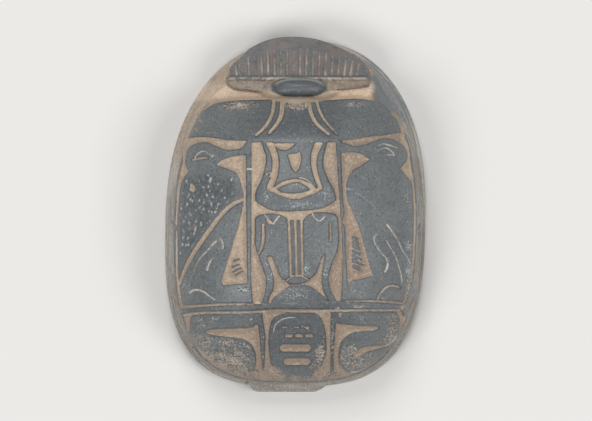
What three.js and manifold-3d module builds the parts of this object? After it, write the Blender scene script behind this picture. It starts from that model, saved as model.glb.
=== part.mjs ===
// Scarab amulet of dark stone: a beetle with a domed back carved in raised relief, legs along
// its sides and a flat oval underside. One piece, lying on the underside.
// Millimetres. X to the right, Y towards the head, Z up.

import * as THREE from "three";
import * as BufferGeometryUtils from "three/addons/utils/BufferGeometryUtils.js";
import Module from "manifold-3d";

// Base plate: an oval that is blunter at the tail than at the head.
const halfWidth = 26.05;
const headReach = 36; // from the widest place to the head end
const tailReach = 33.4;
const widestY = -1.1;
const headPower = 2.3; // 2 is an ellipse, more is squarer
const tailPower = 3;
const lean = 0.021; // the middle line drifts to the right towards the head
const bend = 0.0004; // and curves that way in front of the widest place
const plateHeight = 3.2;
const plateBevel = 0.5;
const lugStep = 1.2; // how far the tail lug stands above the plate

// Back: a dome whose edge stands inside the plate, above the legs.
const backHalfWidth = 24.2;
const backHeadReach = 32;
const backTailReach = 32.2;
const crownHeight = 27;
const edgeHeight = 11.3; // the dome's edge at the widest place
const headEdgeDrop = 4.5; // how far the edge sinks towards each end
const tailEdgeDrop = 4.6;
const domePower = 0.7;
const breastFall = 0.25; // the breast plate falls away faster than the dome, by this share
const breastRearY = 15;
const breastFrontY = 23;
const reliefDepth = 0.7;
const edgeReliefGain = 0.8; // the ground is cut deeper, straight down, where the dome is steep

// Legs and the recess between them, in the slope under the back's edge.
const legFootInset = 0.6;
const legCutDepth = 1.2;
const recessMargin = 1;

// Head: a striped shovel, a lower tier behind it, and a knob in front of the breast plate.
const shovelRise = 12.6;
const shovelStartY = 27.05;
const shovelFall = 0.56; // drop for each millimetre forwards
const shovelCrown = 0.012;
const tierStep = 0.9;
const headUnderside = 4.6;
const neckHeight = 12.3;
const neckCrown = 0.015;
const neckFall = 0.3;
const stripeCount = 19;
const stripeFirstX = -10.2;
const stripePitch = 1.3;
const stripeWidth = 0.5;
const stripeDepth = 0.4;

// How finely curves are stepped.
const ringSides = 48;
const legSteps = [0, 0.35, 0.7, 1]; // from the foot of the flank to the back's edge
const domeSteps = [ // part of the back's reach, and how much coarser the ring is there
  [0.98, 1], [0.93, 1], [0.84, 1], [0.7, 2], [0.5, 2], [0.26, 4],
];
const curveStep = 2.6;
const tallEnough = 40;

const wasm = await Module();
wasm.setup();

// Makes a solid of a closed three.js geometry.
function solidOf(geometry) {
  const bare = geometry.clone();
  bare.deleteAttribute("normal");
  bare.deleteAttribute("uv");
  const merged = BufferGeometryUtils.mergeVertices(bare, 1e-5);
  const vertProperties = new Float32Array(merged.attributes.position.array);
  const triVerts = new Uint32Array(merged.index.array);
  return new wasm.Manifold(new wasm.Mesh({ numProp: 3, vertProperties, triVerts }));
}

function joined(solids) {
  return solids.reduce((sum, solid) => sum.add(solid));
}

// A closed skin over rings, from the lowest to the highest. A ring has as many points as the one
// below it, or half as many. The top closes on the apex, or flat where none is given.
function loft(rings, apex) {
  const points = rings.flat();
  const triangles = [];
  let start = 0;
  rings.slice(0, -1).forEach((low, row) => {
    const high = rings[row + 1];
    const ratio = low.length / high.length;
    const lowAt = (i) => start + (i % low.length);
    const highAt = (i) => start + low.length + (i % high.length);
    for (let i = 0; i < high.length; i++) {
      const last = ratio * (i + 1);
      if (ratio === 2) triangles.push(lowAt(2 * i), lowAt(2 * i + 1), highAt(i));
      triangles.push(lowAt(last - 1), lowAt(last), highAt(i + 1));
      triangles.push(lowAt(last - 1), highAt(i + 1), highAt(i));
    }
    start += low.length;
  });
  const middleOf = (ring) => {
    return ring.reduce((sum, p) => sum.add(p), new THREE.Vector3()).divideScalar(ring.length);
  };
  const bottom = points.push(middleOf(rings[0])) - 1;
  const top = points.push(apex ?? middleOf(rings[rings.length - 1])) - 1;
  rings[0].forEach((_, i) => triangles.push(bottom, (i + 1) % rings[0].length, i));
  const topCount = rings[rings.length - 1].length;
  for (let i = 0; i < topCount; i++) triangles.push(top, start + i, start + ((i + 1) % topCount));
  const geometry = new THREE.BufferGeometry().setFromPoints(points);
  geometry.setIndex(triangles);
  return solidOf(geometry);
}

// A place on an oval round the amulet's middle, at part of its full reach.
function ovalPoint(angle, width, head, tail, part = 1) {
  const forwards = Math.sin(angle) > 0;
  const power = 2 / (forwards ? headPower : tailPower);
  const across = Math.sign(Math.cos(angle)) * Math.abs(Math.cos(angle)) ** power;
  const along = Math.sign(Math.sin(angle)) * Math.abs(Math.sin(angle)) ** power;
  const y = part * along * (forwards ? head : tail);
  const drift = lean * y + bend * Math.max(y, 0) ** 2;
  return new THREE.Vector2(part * across * width + drift, widestY + y);
}

function ring(place, sides = ringSides) {
  return Array.from({ length: sides }, (_, i) => place((2 * Math.PI * i) / sides));
}

function plateRing(inset, z) {
  return ring((angle) => {
    const p = ovalPoint(angle, halfWidth - inset, headReach - inset, tailReach - inset);
    return new THREE.Vector3(p.x, p.y, z);
  });
}

// Height of the back's edge, which sinks towards the head and the tail.
function edgeAt(y) {
  const forwards = y > widestY;
  const part = Math.abs(y - widestY) / (forwards ? backHeadReach : backTailReach);
  return edgeHeight - (forwards ? headEdgeDrop : tailEdgeDrop) * Math.min(part, 1) ** 3;
}

// How far the back rises over its edge at the crown, and less over the breast plate.
function riseAt(y) {
  const part = THREE.MathUtils.clamp((y - breastRearY) / (breastFrontY - breastRearY), 0, 1.2);
  return (crownHeight - edgeHeight) * (1 - breastFall * part ** 2);
}

// The whole form above the plate. Its back can be sunk to the relief's ground, and its flanks
// set in to the floor of the recess between the legs.
function bodyForm({ sink = 0, inset = 0 } = {}) {
  const start = plateHeight - plateBevel;
  const backPoint = (angle, part, less = 0) => {
    return ovalPoint(angle, backHalfWidth - less, backHeadReach - less, backTailReach - less, part);
  };
  const legRings = legSteps.map((step) => ring((angle) => {
    const foot = legFootInset + inset;
    const low = ovalPoint(angle, halfWidth - foot, headReach - foot, tailReach - foot);
    const p = low.lerp(backPoint(angle, 1, inset), step ** 1.4);
    return new THREE.Vector3(p.x, p.y, THREE.MathUtils.lerp(start, edgeAt(p.y) - sink, step));
  }));
  const domeRings = domeSteps.map(([part, share]) => ring((angle) => {
    const p = backPoint(angle, part);
    const rise = riseAt(p.y) * (1 - part ** 2) ** domePower;
    const drop = sink * (1 + edgeReliefGain * part ** 4);
    return new THREE.Vector3(p.x, p.y, edgeAt(p.y) + rise - drop);
  }, ringSides / share));
  return loft([...legRings, ...domeRings], new THREE.Vector3(0, widestY, crownHeight - sink));
}

// A closed outline of smooth edges that meet in corners; each edge starts where the last one ends.
function outline(...edges) {
  return edges.flatMap((edge, i) => {
    const end = edges[(i + 1) % edges.length][0];
    const curve = new THREE.SplineCurve([...edge, end].map(([x, y]) => new THREE.Vector2(x, y)));
    const steps = edge.length === 1 ? 1 : Math.max(edge.length, Math.round(curve.getLength() / curveStep));
    return curve.getSpacedPoints(steps).slice(0, -1);
  });
}

// The outline of a stroke along a curve, with its widths spread evenly from start to end.
function stroke(widths, ...places) {
  const curve = new THREE.SplineCurve(places.map(([x, y]) => new THREE.Vector2(x, y)));
  const steps = places.length === 2 ? 1 : Math.round(curve.getLength() / curveStep) + 1;
  const sides = [[], []];
  for (let i = 0; i <= steps; i++) {
    const part = i / steps;
    const spot = part * (widths.length - 1);
    const from = Math.min(Math.floor(spot), Math.max(widths.length - 2, 0));
    const to = Math.min(from + 1, widths.length - 1);
    const half = THREE.MathUtils.lerp(widths[from], widths[to], spot - from) / 2;
    const p = curve.getPointAt(part);
    const t = curve.getTangentAt(part);
    sides[0].push(new THREE.Vector2(p.x - t.y * half, p.y + t.x * half));
    sides[1].unshift(new THREE.Vector2(p.x + t.y * half, p.y - t.x * half));
  }
  return sides.flat();
}

// A straight-sided solid over an outline, seen from above.
function prism(points, low = 0, high = tallEnough) {
  const shape = new THREE.Shape(points);
  const geometry = new THREE.ExtrudeGeometry(shape, { depth: high - low, bevelEnabled: false });
  return solidOf(geometry.translate(0, 0, low));
}

// The same over an outline seen from the side, right through both flanks.
function crossPrism(points) {
  const reach = halfWidth + 2;
  const shape = new THREE.Shape(points);
  const geometry = new THREE.ExtrudeGeometry(shape, { depth: 2 * reach, bevelEnabled: false });
  geometry.translate(0, 0, -reach);
  const toSide = new THREE.Matrix4().makeBasis(
    new THREE.Vector3(0, 1, 0), new THREE.Vector3(0, 0, 1), new THREE.Vector3(1, 0, 0));
  return solidOf(geometry.applyMatrix4(toSide));
}

// A block under a gently shaped top.
function blockUnder(heightAt, minX, maxX, minY, maxY, floor) {
  const acrossSteps = 4;
  const alongSteps = 2;
  const rows = [];
  for (let j = 0; j <= alongSteps; j++) {
    const y = THREE.MathUtils.lerp(minY, maxY, j / alongSteps);
    const row = [];
    for (let i = 0; i <= acrossSteps; i++) {
      const x = THREE.MathUtils.lerp(minX, maxX, i / acrossSteps);
      row.push(new THREE.Vector3(x, y, heightAt(x, y)));
    }
    row.push(new THREE.Vector3(maxX, y, floor), new THREE.Vector3(minX, y, floor));
    rows.push(row);
  }
  return loft(rows);
}

// The relief's ground: every place, seen from above, where the carver cut below the back.

function leftBaboonGround() {
  const nape = outline(
    [[-21.4, 15.2], [-18.6, 15.4], [-15, 15], [-12, 14.65]],
    [[-9.6, 14.5], [-10.4, 13.4], [-12.6, 12.9], [-14.8, 13.05], [-16.3, 13.95], [-18.4, 14.4],
      [-20.4, 14], [-21.7, 12.6], [-22, 10.4]],
    [[-21.3, 8.5], [-22.4, 7.3], [-23, 5], [-23.35, 0.5]],
    [[-23.55, -2.4]],
    [[-23.95, -2.2], [-23.75, 1], [-23.5, 4.6], [-22.8, 8.6], [-22.5, 12], [-22, 13.8]]);
  const muzzle = outline(
    [[-15.7, 9.9], [-14.4, 10.85], [-12.5, 11.45]],
    [[-9.9, 11.8], [-9.8, 2], [-9.7, -6]],
    [[-9.55, -13.6]],
    [[-14.3, -14]],
    [[-14.7, -13.2], [-13.6, -9.8], [-12.1, -5], [-10.75, 0], [-10.25, 3.6], [-10.8, 6.2],
      [-11.6, 8.1], [-13.4, 9.05]]);
  const arm = stroke([0.65, 0.8, 0.75, 0.6],
    [-10.5, 2.9], [-12.4, 2.05], [-14.4, 0.3], [-16.2, -1.9], [-18, -4.4], [-19.7, -6.8],
    [-21.2, -9.3], [-22.3, -11.6], [-23.1, -13.8]);
  const flank = stroke([0.35, 0.4, 0.5, 0.7],
    [-23.65, -3.3], [-23.65, -11], [-23.2, -15.8], [-22.75, -18.2]);
  const ledge = stroke([0.6, 0.5, 0.45, 0.35], [-23, -18.45], [-20.5, -18.3], [-16, -18], [-8.3, -17.7]);
  const eye = stroke([0.4, 0.35], [-20.5, 10.9], [-17.5, 11.3]);
  return [nape, muzzle, arm, flank, ledge, eye];
}

function rightBaboonGround() {
  const nape = outline(
    [[8.9, 14.5], [11.5, 14.9], [14.5, 15.4], [17.5, 15.7], [21, 16.3]],
    [[21.8, 15.2], [22.6, 13.4], [22.9, 10.5], [23.5, 7], [23.95, 2], [24.05, -3]],
    [[23.4, -10.3], [23.65, -5], [23.55, 1], [23.2, 6], [22.2, 7.6]],
    [[20.8, 9.1]],
    [[22.1, 10.6], [22.3, 12.1], [21.5, 13.7], [19.3, 15.05], [17.2, 15.1], [13.7, 13.95],
      [11.5, 13.65]]);
  const muzzle = outline(
    [[9.1, 12.1], [11, 12.3], [13, 11.95]],
    [[14.65, 10.9], [13.4, 10], [11.4, 8.8], [10.2, 6.8], [10.2, 3.2], [11.1, 1.1], [12.2, -1.7],
      [13.6, -6], [14.9, -11.4]],
    [[15.3, -12.15]],
    [[10.7, -13.35]],
    [[10.5, -14.6], [10, -8], [9.8, -2.8], [9.25, -1.5], [9.7, 0.3], [9.4, 4]]);
  const tail = stroke([0.35, 0.3], [18.3, -2], [20.3, -4.8], [22.1, -8.2], [23, -10.2]);
  const foot = stroke([0.4, 0.3], [16.3, -16.8], [17.6, -14.9], [19.2, -14.1], [20.7, -14.6]);
  const ledge = stroke([0.35, 0.45], [11.2, -17.2], [21.4, -17.6]);
  const eye = stroke([0.35, 0.35], [16.4, 13.7], [17.6, 14.1], [20.3, 13.4]);
  return [nape, muzzle, tail, foot, ledge, eye];
}

// The beetle in the middle: raised horns round an eye, wing cases, hind legs and the ball below.
function beetleGround() {
  const leftChannel = outline(
    [[-8.7, 14.4], [-8.7, 5], [-8.75, -5], [-8.7, -14]],
    [[-8.3, -17.8]],
    [[-6.9, -17.8], [-6, -15.2], [-5.95, -12.5], [-6.9, -9.6], [-8.05, -6], [-8.05, -3], [-7.95, 4],
      [-6.6, 7.4], [-5.85, 11], [-6.3, 12.7]],
    [[-6.8, 14.4]]);
  const rightChannel = outline(
    [[8, 14.4], [8.3, 9], [8.85, 1], [9.2, -5], [9.3, -11]],
    [[8.9, -17.1]],
    [[8.1, -17.1], [7.1, -15.2], [6.65, -12.7], [7.2, -10.1], [8.5, -6.6], [8.6, -3], [7.95, 3.8],
      [6.6, 6.9], [5.6, 9.6], [5.75, 12]],
    [[6.4, 14.4]]);
  const shoulders = outline(
    [[-8.3, 3], [-7, 1.95], [-4.8, 0.85], [-2, 0.6], [2, 0.75], [5, 1.2], [7, 2.05]],
    [[8.3, 3.1]],
    [[8.7, -0.9], [7.6, 0.2], [5, 0.5], [2.8, 0.15]],
    [[1.5, -1.1]],
    [[-1.5, -1], [-2.8, -0.1], [-5, 0.25], [-7.2, -0.1]],
    [[-8.3, -1]]);
  const hornLeft = stroke([1.3, 1.2, 1.2, 1.1],
    [-5.1, 14], [-4.2, 12], [-3.95, 9.8], [-4.3, 7.4], [-5.1, 5.4]);
  const hornRight = stroke([1.5, 1.1, 0.9, 0.8],
    [4.6, 14.1], [3.8, 12], [3.65, 9.8], [4.1, 7.6], [4.9, 5.3]);
  const brow = outline([[-4.6, 14.1]], [[0, 14.1], [-1.4, 13], [-2.9, 12.9]]);
  const tongue = outline([[-1.5, 11.8], [-0.2, 12.1]], [[0.8, 12.5], [1.1, 11], [0.1, 8.4], [-0.9, 9.8]]);
  const spine = [-1, 0, 1].map((side) => {
    return stroke([0.38, 0.42], [side * 1.25 - 0.08, -0.9], [side * 1.15 + 0.35, -12.2]);
  });
  const wingLeft = stroke([0.45, 0.6, 0.5, 0.3], [-6.4, -2.1], [-6.4, -4.8], [-6.8, -6.8], [-7.3, -7.7]);
  const wingRight = stroke([0.5], [6.9, -1.5], [6.95, -5.3]);
  const legLeft = outline(
    [[-5.3, -8.2], [-5.4, -9.4], [-4.3, -12.2], [-4.4, -14.4]],
    [[-5.3, -17.5]],
    [[-4.8, -17.3], [-3.4, -15.7]],
    [[-1.3, -14.1], [-2.6, -12.9], [-3.5, -11.4], [-4.3, -9.1]]);
  const legRight = outline(
    [[5.8, -7.9], [5.4, -10.3], [5.1, -13], [5.5, -15.2]],
    [[6.5, -17.1]],
    [[5.4, -16], [4, -14.9], [3, -14]],
    [[1.5, -13.9], [3.1, -12.8], [4.2, -11.5], [5.1, -9]]);
  return [leftChannel, rightChannel, shoulders, hornLeft, hornRight, brow, tongue, ...spine,
    wingLeft, wingRight, legLeft, legRight];
}

// The almond eye between the horns is a ring, so its pupil stays.
function eyeGround() {
  const almond = outline(
    [[-5.8, 5.1], [-4.2, 5.4], [-2.6, 6.45], [0, 7.05], [2.4, 6.4], [3.7, 5.3]],
    [[5.1, 5.1], [3.2, 3.95], [0, 3.1], [-2.8, 3.7]]);
  const pupil = outline(
    [[-3.8, 5], [-1.8, 6], [0.4, 6.45], [2.1, 5.7]],
    [[3.1, 4.9], [0.5, 4.2], [-2.6, 4.3]]);
  return prism(almond).subtract(prism(pupil));
}

// The band below the cross bar: two fields with a cartouche between them.
function lowerGround() {
  const bar = stroke([0.6, 0.45, 0.55, 0.5, 0.5], [-22.4, -20], [-15, -19.6], [-6.4, -19.4], [0, -19.15],
    [12, -19.1], [21.3, -19.3]);
  const cartoucheLeft = outline(
    [[-6.5, -19.3], [-6.3, -22], [-6.15, -25]],
    [[-6.1, -31]],
    [[-4.5, -30.6], [-5.3, -27.5], [-5.3, -23.6], [-4.75, -20.9], [-3.4, -19.9]],
    [[-1.5, -19.4]]);
  const cartoucheRight = outline(
    [[2, -19.3], [4.2, -19.8], [5.4, -21.8], [6.1, -24.8], [6.2, -27.8], [4.4, -30.5]],
    [[3.6, -32]],
    [[6.9, -32], [7, -25]],
    [[6.85, -19.3]]);
  const wedgeLeft = outline(
    [[-18.1, -23.3], [-16, -22.8], [-12, -22.6], [-9, -22.25]],
    [[-7.4, -22]],
    [[-6.85, -29.5]],
    [[-8, -29.3], [-8, -27.5], [-9, -25.8], [-11, -24.65], [-14, -24.35]]);
  const wedgeRight = outline(
    [[7.95, -21.6], [10, -21.9], [15.5, -22.15]],
    [[16.1, -22.8], [12.2, -23.1], [10.2, -23.9], [9, -25.2], [8.6, -28.5], [9.2, -30.5]],
    [[10.5, -31.5]],
    [[7.6, -31.5], [7.65, -27]]);
  const cornerLeft = outline([[-22.3, -19.9]], [[-20.2, -20.1], [-21, -21.3]], [[-21.1, -23.4]],
    [[-21.6, -23.4], [-21.9, -21.5]]);
  const hip = stroke([0.35, 0.65, 0.9, 0.7], [18.3, -26.1], [15.5, -26.5], [13, -27.4], [12, -28.6]);
  const rimRight = stroke([0.9, 0.6, 0.6, 0.45, 0.55], [20.6, -19.8], [21.3, -21.5], [20.7, -24],
    [19.5, -26.5], [17.6, -28.7], [15.5, -30.2], [13, -31.3], [10.5, -31.8]);
  return [bar, cartoucheLeft, cartoucheRight, wedgeLeft, wedgeRight, cornerLeft, hip, rimRight];
}

// Rows of plain strokes inside the cartouche.
function cartoucheStrokes() {
  const rows = [
    { y: -22.4, length: 1.3, width: 0.45, places: [-2.2, 0.3, 2.5] },
    { y: -24.1, length: 1.1, width: 0.7, places: [-1.3, 0.9, 2.9] },
    { y: -26.6, length: 5.6, width: 1.2, places: [0.1] },
    { y: -29.2, length: 4.2, width: 1.3, places: [0.3] },
  ];
  return rows.flatMap(({ y, length, width, places }) => places.map((x) => {
    return stroke([width], [x - length / 2, y], [x + length / 2, y]);
  }));
}

// Two pairs of curved grooves that flare apart down the breast plate.
function breastGrooves() {
  return [
    stroke([0.65, 0.6, 0.45], [-4.3, 22.8], [-4.5, 20.6], [-5.2, 18.7], [-6.3, 17.1], [-7.8, 15.8]),
    stroke([0.9, 0.8, 0.5], [-2.6, 22.8], [-2.75, 20.2], [-3.5, 18.3], [-5.2, 16.2]),
    stroke([0.8, 0.7, 0.4], [2.6, 22.6], [3.2, 19.8], [4.5, 17.7], [6.6, 15.9]),
    stroke([0.55, 0.45, 0.2], [4.2, 22.6], [4.9, 20.3], [6.2, 18.2], [8.3, 15.9]),
  ];
}

function reliefGround() {
  const outlines = [
    ...leftBaboonGround(), ...rightBaboonGround(), ...beetleGround(), ...lowerGround(),
    ...cartoucheStrokes(), ...breastGrooves(),
  ];
  return joined([...outlines.map((points) => prism(points)), eyeGround()]);
}

// What is left out between the legs, seen from the side. Each leg runs down from under the back.
function legRecess() {
  const front = 26;
  const rear = -27;
  const steps = 4;
  const top = Array.from({ length: steps + 1 }, (_, i) => {
    const y = THREE.MathUtils.lerp(rear, front, i / steps);
    return new THREE.Vector2(y, edgeAt(y) - recessMargin);
  });
  const low = plateHeight + 0.4;
  const whole = crossPrism([new THREE.Vector2(front, low), ...top.reverse(), new THREE.Vector2(rear, low)]);
  const legs = [
    stroke([3, 2.4, 1.7], [10, 11.5], [15, 7.8], [21, 5.6], [28, 4.6]),
    stroke([3, 2.2, 1.6], [6, 11.5], [0, 7], [-5, 5], [-10, 4.6]),
    stroke([3, 2.4, 1.6], [-4, 11.5], [-11, 7.8], [-18, 5.4], [-26, 4.6]),
  ];
  return legs.reduce((rest, leg) => rest.subtract(crossPrism(leg)), whole);
}

// The hollow between the breast plate's front edge and the head.
function neckCut() {
  const edge = outline(
    [[-17, 21.9], [-12, 22.5], [-5.5, 22.9], [0, 23.1], [6.5, 22.8], [12, 23.1], [16.5, 22.5]],
    [[18, 21.9], [20, 24]],
    [[20, 32]],
    [[-20, 32]],
    [[-20, 24]]);
  const floorAt = (x, y) => neckHeight - neckCrown * x * x - neckFall * (y - breastFrontY);
  const floor = blockUnder(floorAt, -24, 24, 18, 36, 0);
  return prism(edge).subtract(floor);
}

function shovelHeight(x, y) {
  return shovelRise - shovelCrown * x * x - shovelFall * (y - shovelStartY);
}

function head() {
  const shovel = outline(
    [[14.7, shovelStartY], [14.1, 29.1], [12.4, 31], [10.2, 32.6]],
    [[9.4, 33.05], [7, 34.05], [4, 35.05], [0.4, 35.5], [-3.5, 35.3], [-6.5, 34.5]],
    [[-9.4, 33], [-10.2, 32]],
    [[-11.3, 30.4], [-12.7, 28.9]],
    [[-13.3, shovelStartY]]);
  const tier = outline(
    [[-13.5, shovelStartY + 0.1], [-14, 25.6]],
    [[-12.4, 24.95], [-6, 24.5]],
    [[6.4, 25], [10, 25.2]],
    [[14.4, 25.8]],
    [[14.8, shovelStartY + 0.1]]);
  const under = (drop) => blockUnder((x, y) => shovelHeight(x, y) - drop, -16, 16, 23, 36, headUnderside);
  const stripes = Array.from({ length: stripeCount }, (_, i) => {
    const x = stripeFirstX + i * stripePitch;
    const reach = 32.6 - 0.012 * x * x;
    return prism(stroke([stripeWidth], [x, 28], [x, reach]), headUnderside + 1);
  });
  const shovelSolid = prism(shovel, headUnderside).intersect(under(0));
  const tierSolid = prism(tier, headUnderside).intersect(under(tierStep));
  const cut = joined(stripes).subtract(under(stripeDepth));
  const knob = new THREE.SphereGeometry(1, 16, 8).rotateX(Math.PI / 2).scale(5.3, 2.15, 3.6);
  return shovelSolid.subtract(cut).add(tierSolid).add(solidOf(knob.translate(0.65, 25.1, 11.2)));
}

// A low lug that stands out of the plate under the tail.
function tailLug() {
  const points = outline(
    [[-9.6, -32]],
    [[-9.1, -34.1], [-8.4, -35.2]],
    [[-7.5, -35.5]],
    [[3.8, -35.5], [5, -35]],
    [[6.3, -34.1], [8, -33.6]],
    [[8, -32]]);
  return prism(points, 0, plateHeight + lugStep);
}

function scarab() {
  const plate = loft([
    plateRing(plateBevel, 0), plateRing(0, plateBevel),
    plateRing(0, plateHeight - plateBevel), plateRing(plateBevel, plateHeight),
  ]);
  const relief = reliefGround().subtract(bodyForm({ sink: reliefDepth }));
  const recess = legRecess().subtract(bodyForm({ inset: legCutDepth }));
  const body = bodyForm().subtract(neckCut()).subtract(relief).subtract(recess);
  const solid = joined([plate, body, head(), tailLug()]);
  const { vertProperties, triVerts } = solid.getMesh();
  const geometry = new THREE.BufferGeometry();
  geometry.setAttribute("position", new THREE.BufferAttribute(vertProperties, 3));
  geometry.setIndex(new THREE.BufferAttribute(triVerts, 1));
  geometry.computeVertexNormals();
  return geometry;
}

const darkStone = new THREE.MeshStandardMaterial({ color: 0x696f72, roughness: 0.45, metalness: 0 });
const stone = new THREE.Mesh(scarab(), darkStone);
stone.name = "scarab_stone";

const amulet = new THREE.Group();
amulet.add(stone);

export default amulet;
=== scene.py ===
import math

import bpy
import numpy as np
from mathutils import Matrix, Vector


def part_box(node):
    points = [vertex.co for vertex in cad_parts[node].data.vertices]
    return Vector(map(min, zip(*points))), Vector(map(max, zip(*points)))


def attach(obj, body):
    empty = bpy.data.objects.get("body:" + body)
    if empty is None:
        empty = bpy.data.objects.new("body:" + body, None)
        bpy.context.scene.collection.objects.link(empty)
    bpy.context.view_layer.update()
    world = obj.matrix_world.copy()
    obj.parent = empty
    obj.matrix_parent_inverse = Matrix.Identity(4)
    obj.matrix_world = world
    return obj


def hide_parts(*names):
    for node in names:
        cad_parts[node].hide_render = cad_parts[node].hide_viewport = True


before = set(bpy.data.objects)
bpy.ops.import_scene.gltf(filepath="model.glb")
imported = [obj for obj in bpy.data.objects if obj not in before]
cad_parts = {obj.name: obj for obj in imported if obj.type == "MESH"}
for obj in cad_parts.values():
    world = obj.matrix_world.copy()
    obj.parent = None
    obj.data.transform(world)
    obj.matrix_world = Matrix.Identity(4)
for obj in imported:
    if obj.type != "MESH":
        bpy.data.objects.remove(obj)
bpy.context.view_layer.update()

blockLow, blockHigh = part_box("scarab_stone")
mm = 0.001
farAway = 1.5  # distances to a shape are worked out as far as this, in millimetres

# Scarab amulet: the whole stone, in millimetres, +Y towards the head.
# A wall is the distances, in from the edge, at which it starts to fall and reaches its full depth.
scarab = {
    "name": "scarab_carved",
    "cellsAcross": 216, "cellsAlong": 290,  # cells of the carved back
    "flankRows": 20, "plateRows": 7,  # rows of cells down the sides and round the plate
    "lean": 0.021, "bend": 0.0004, "widestY": -1.1,  # the middle line leans and bends a little
    "headPower": 2.3, "tailPower": 3.0,  # how square the oval is at each end
    "plate": (26.0, 35.95, 33.35),  # half width, reach to the head, reach to the tail
    "back": (24.2, 32.0, 32.2),
    "crownHeight": (blockHigh[2] - blockLow[2]) / mm,
    "edgeHeight": 11.3, "headEdgeDrop": 4.5, "tailEdgeDrop": 4.6,
    "domePower": 0.7, "flankPower": 1.4,
    "breastFall": 0.25, "breastRearY": 15, "breastFrontY": 23,
    "plateHeight": 3.2, "lugStep": 1.15, "footInset": 0.62,
    "panelTopY": 14.3,
    "reliefDepth": 0.7, "edgeReliefGain": 0.5,
    "grooveShare": 0.5, "grooveWall": (-0.1, 0.22), "groundWall": (0.2, 0.7),
    "lineDepth": 0.2, "lineWall": (-0.12, 0.1),
    "pitDepth": 0.25, "pitPatches": (0.75, 3),  # size and seed of the patches
    "chiselDepth": 0.12, "chiselPatches": (1.3, 5), "wearPatches": (1.6, 7),
    "legDepth": 1.2, "legWall": (-0.2, 0.35),
    "shovelRise": 12.6, "shovelFall": 0.56, "shovelCrown": 0.012, "shovelStartY": 27.05,
    "tierStep": 0.9, "headWall": (-0.3, 0),
    "neckHeight": 12.6, "neckCrown": 0.015, "neckFall": 0.3, "neckWall": (-0.2, 0.7),
    "shoulderStep": 0.7, "shoulderFall": 6, "shoulderSpan": (-17.5, -11),
    "knobPlace": (0.7, 25.2, 12.6), "knobSize": (5.3, 1.88, 2.3), "knobPower": 2.5,
    "knobApron": 1.2, "apronReach": (-1.7, -1.15),
}


# A smooth run through places, stepped finely.
def smoothRun(places, step=0.3):
    p = np.array(places, float)
    if len(p) == 2:
        return p
    p = np.vstack([p[0], p, p[-1]])
    run = []
    for i in range(1, len(p) - 2):
        a, b, c, d = p[i - 1], p[i], p[i + 1], p[i + 2]
        count = max(2, int(math.ceil(np.linalg.norm(c - b) / step)))
        t = np.linspace(0, 1, count, endpoint=False)[:, None]
        run.append(0.5 * ((2 * b) + (c - a) * t + (2 * a - 5 * b + 4 * c - d) * t ** 2
                          + (3 * b - a - 3 * c + d) * t ** 3))
    run.append(p[-1:])
    return np.vstack(run)


# A closed outline of smooth edges that meet in corners; each starts where the last one ends.
def outline(*edges):
    runs = []
    for i, edgeShadeAndWear in enumerate(edges):
        run = smoothRun(list(edgeShadeAndWear) + [edges[(i + 1) % len(edges)][0]])
        runs.append(run[:-1])
    return np.vstack(runs)


# Distance to an outline, below zero inside it.
def outlineDistance(x, y, points):
    ax, ay = points[:, 0], points[:, 1]
    bx, by = np.roll(ax, -1), np.roll(ay, -1)
    dx, dy = bx - ax, by - ay
    length = np.maximum(dx ** 2 + dy ** 2, 1e-12)
    px, py = x[:, None] - ax, y[:, None] - ay
    t = np.clip((px * dx + py * dy) / length, 0, 1)
    gap = np.sqrt(((px - t * dx) ** 2 + (py - t * dy) ** 2).min(axis=1))
    safeDy = np.where(dy == 0, 1e-12, dy)
    crossing = ((ay > y[:, None]) != (by > y[:, None])) & (x[:, None] < ax + dx * py / safeDy)
    return np.where(crossing.sum(axis=1) % 2 == 1, -gap, gap)


# Distance to a stroke whose width runs evenly through the widths from start to end.
def strokeDistance(x, y, widths, places):
    run = smoothRun(places)
    walked = np.concatenate([[0], np.cumsum(np.linalg.norm(np.diff(run, axis=0), axis=1))])
    half = np.interp(walked / walked[-1], np.linspace(0, 1, max(len(widths), 2)),
                     widths if len(widths) > 1 else [widths[0]] * 2) / 2
    a, b = run[:-1], run[1:]
    d = b - a
    px, py = x[:, None] - a[:, 0], y[:, None] - a[:, 1]
    t = np.clip((px * d[:, 0] + py * d[:, 1]) / (d ** 2).sum(axis=1), 0, 1)
    gap = np.hypot(px - t * d[:, 0], py - t * d[:, 1]) - (half[:-1] + (half[1:] - half[:-1]) * t)
    return gap.min(axis=1)


# Smallest distance to any of the shapes, worked out only near each one.
def nearest(x, y, shapes):
    best = np.full(len(x), farAway)
    for shape in shapes:
        isStroke = isinstance(shape, tuple)
        places = np.array(shape[1:], float) if isStroke else shape
        low, high = places.min(axis=0) - farAway - 1, places.max(axis=0) + farAway + 1
        near = np.flatnonzero((x > low[0]) & (x < high[0]) & (y > low[1]) & (y < high[1]))
        if len(near) == 0:
            continue
        if isStroke:
            found = strokeDistance(x[near], y[near], shape[0], shape[1:])
        else:
            found = outlineDistance(x[near], y[near], shape)
        best[near] = np.minimum(best[near], found)
    return best


# A soft step from 0 at start to 1 at end.
def ease(value, start, end):
    t = np.clip((value - start) / (end - start), 0, 1)
    return t * t * (3 - 2 * t)


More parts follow.
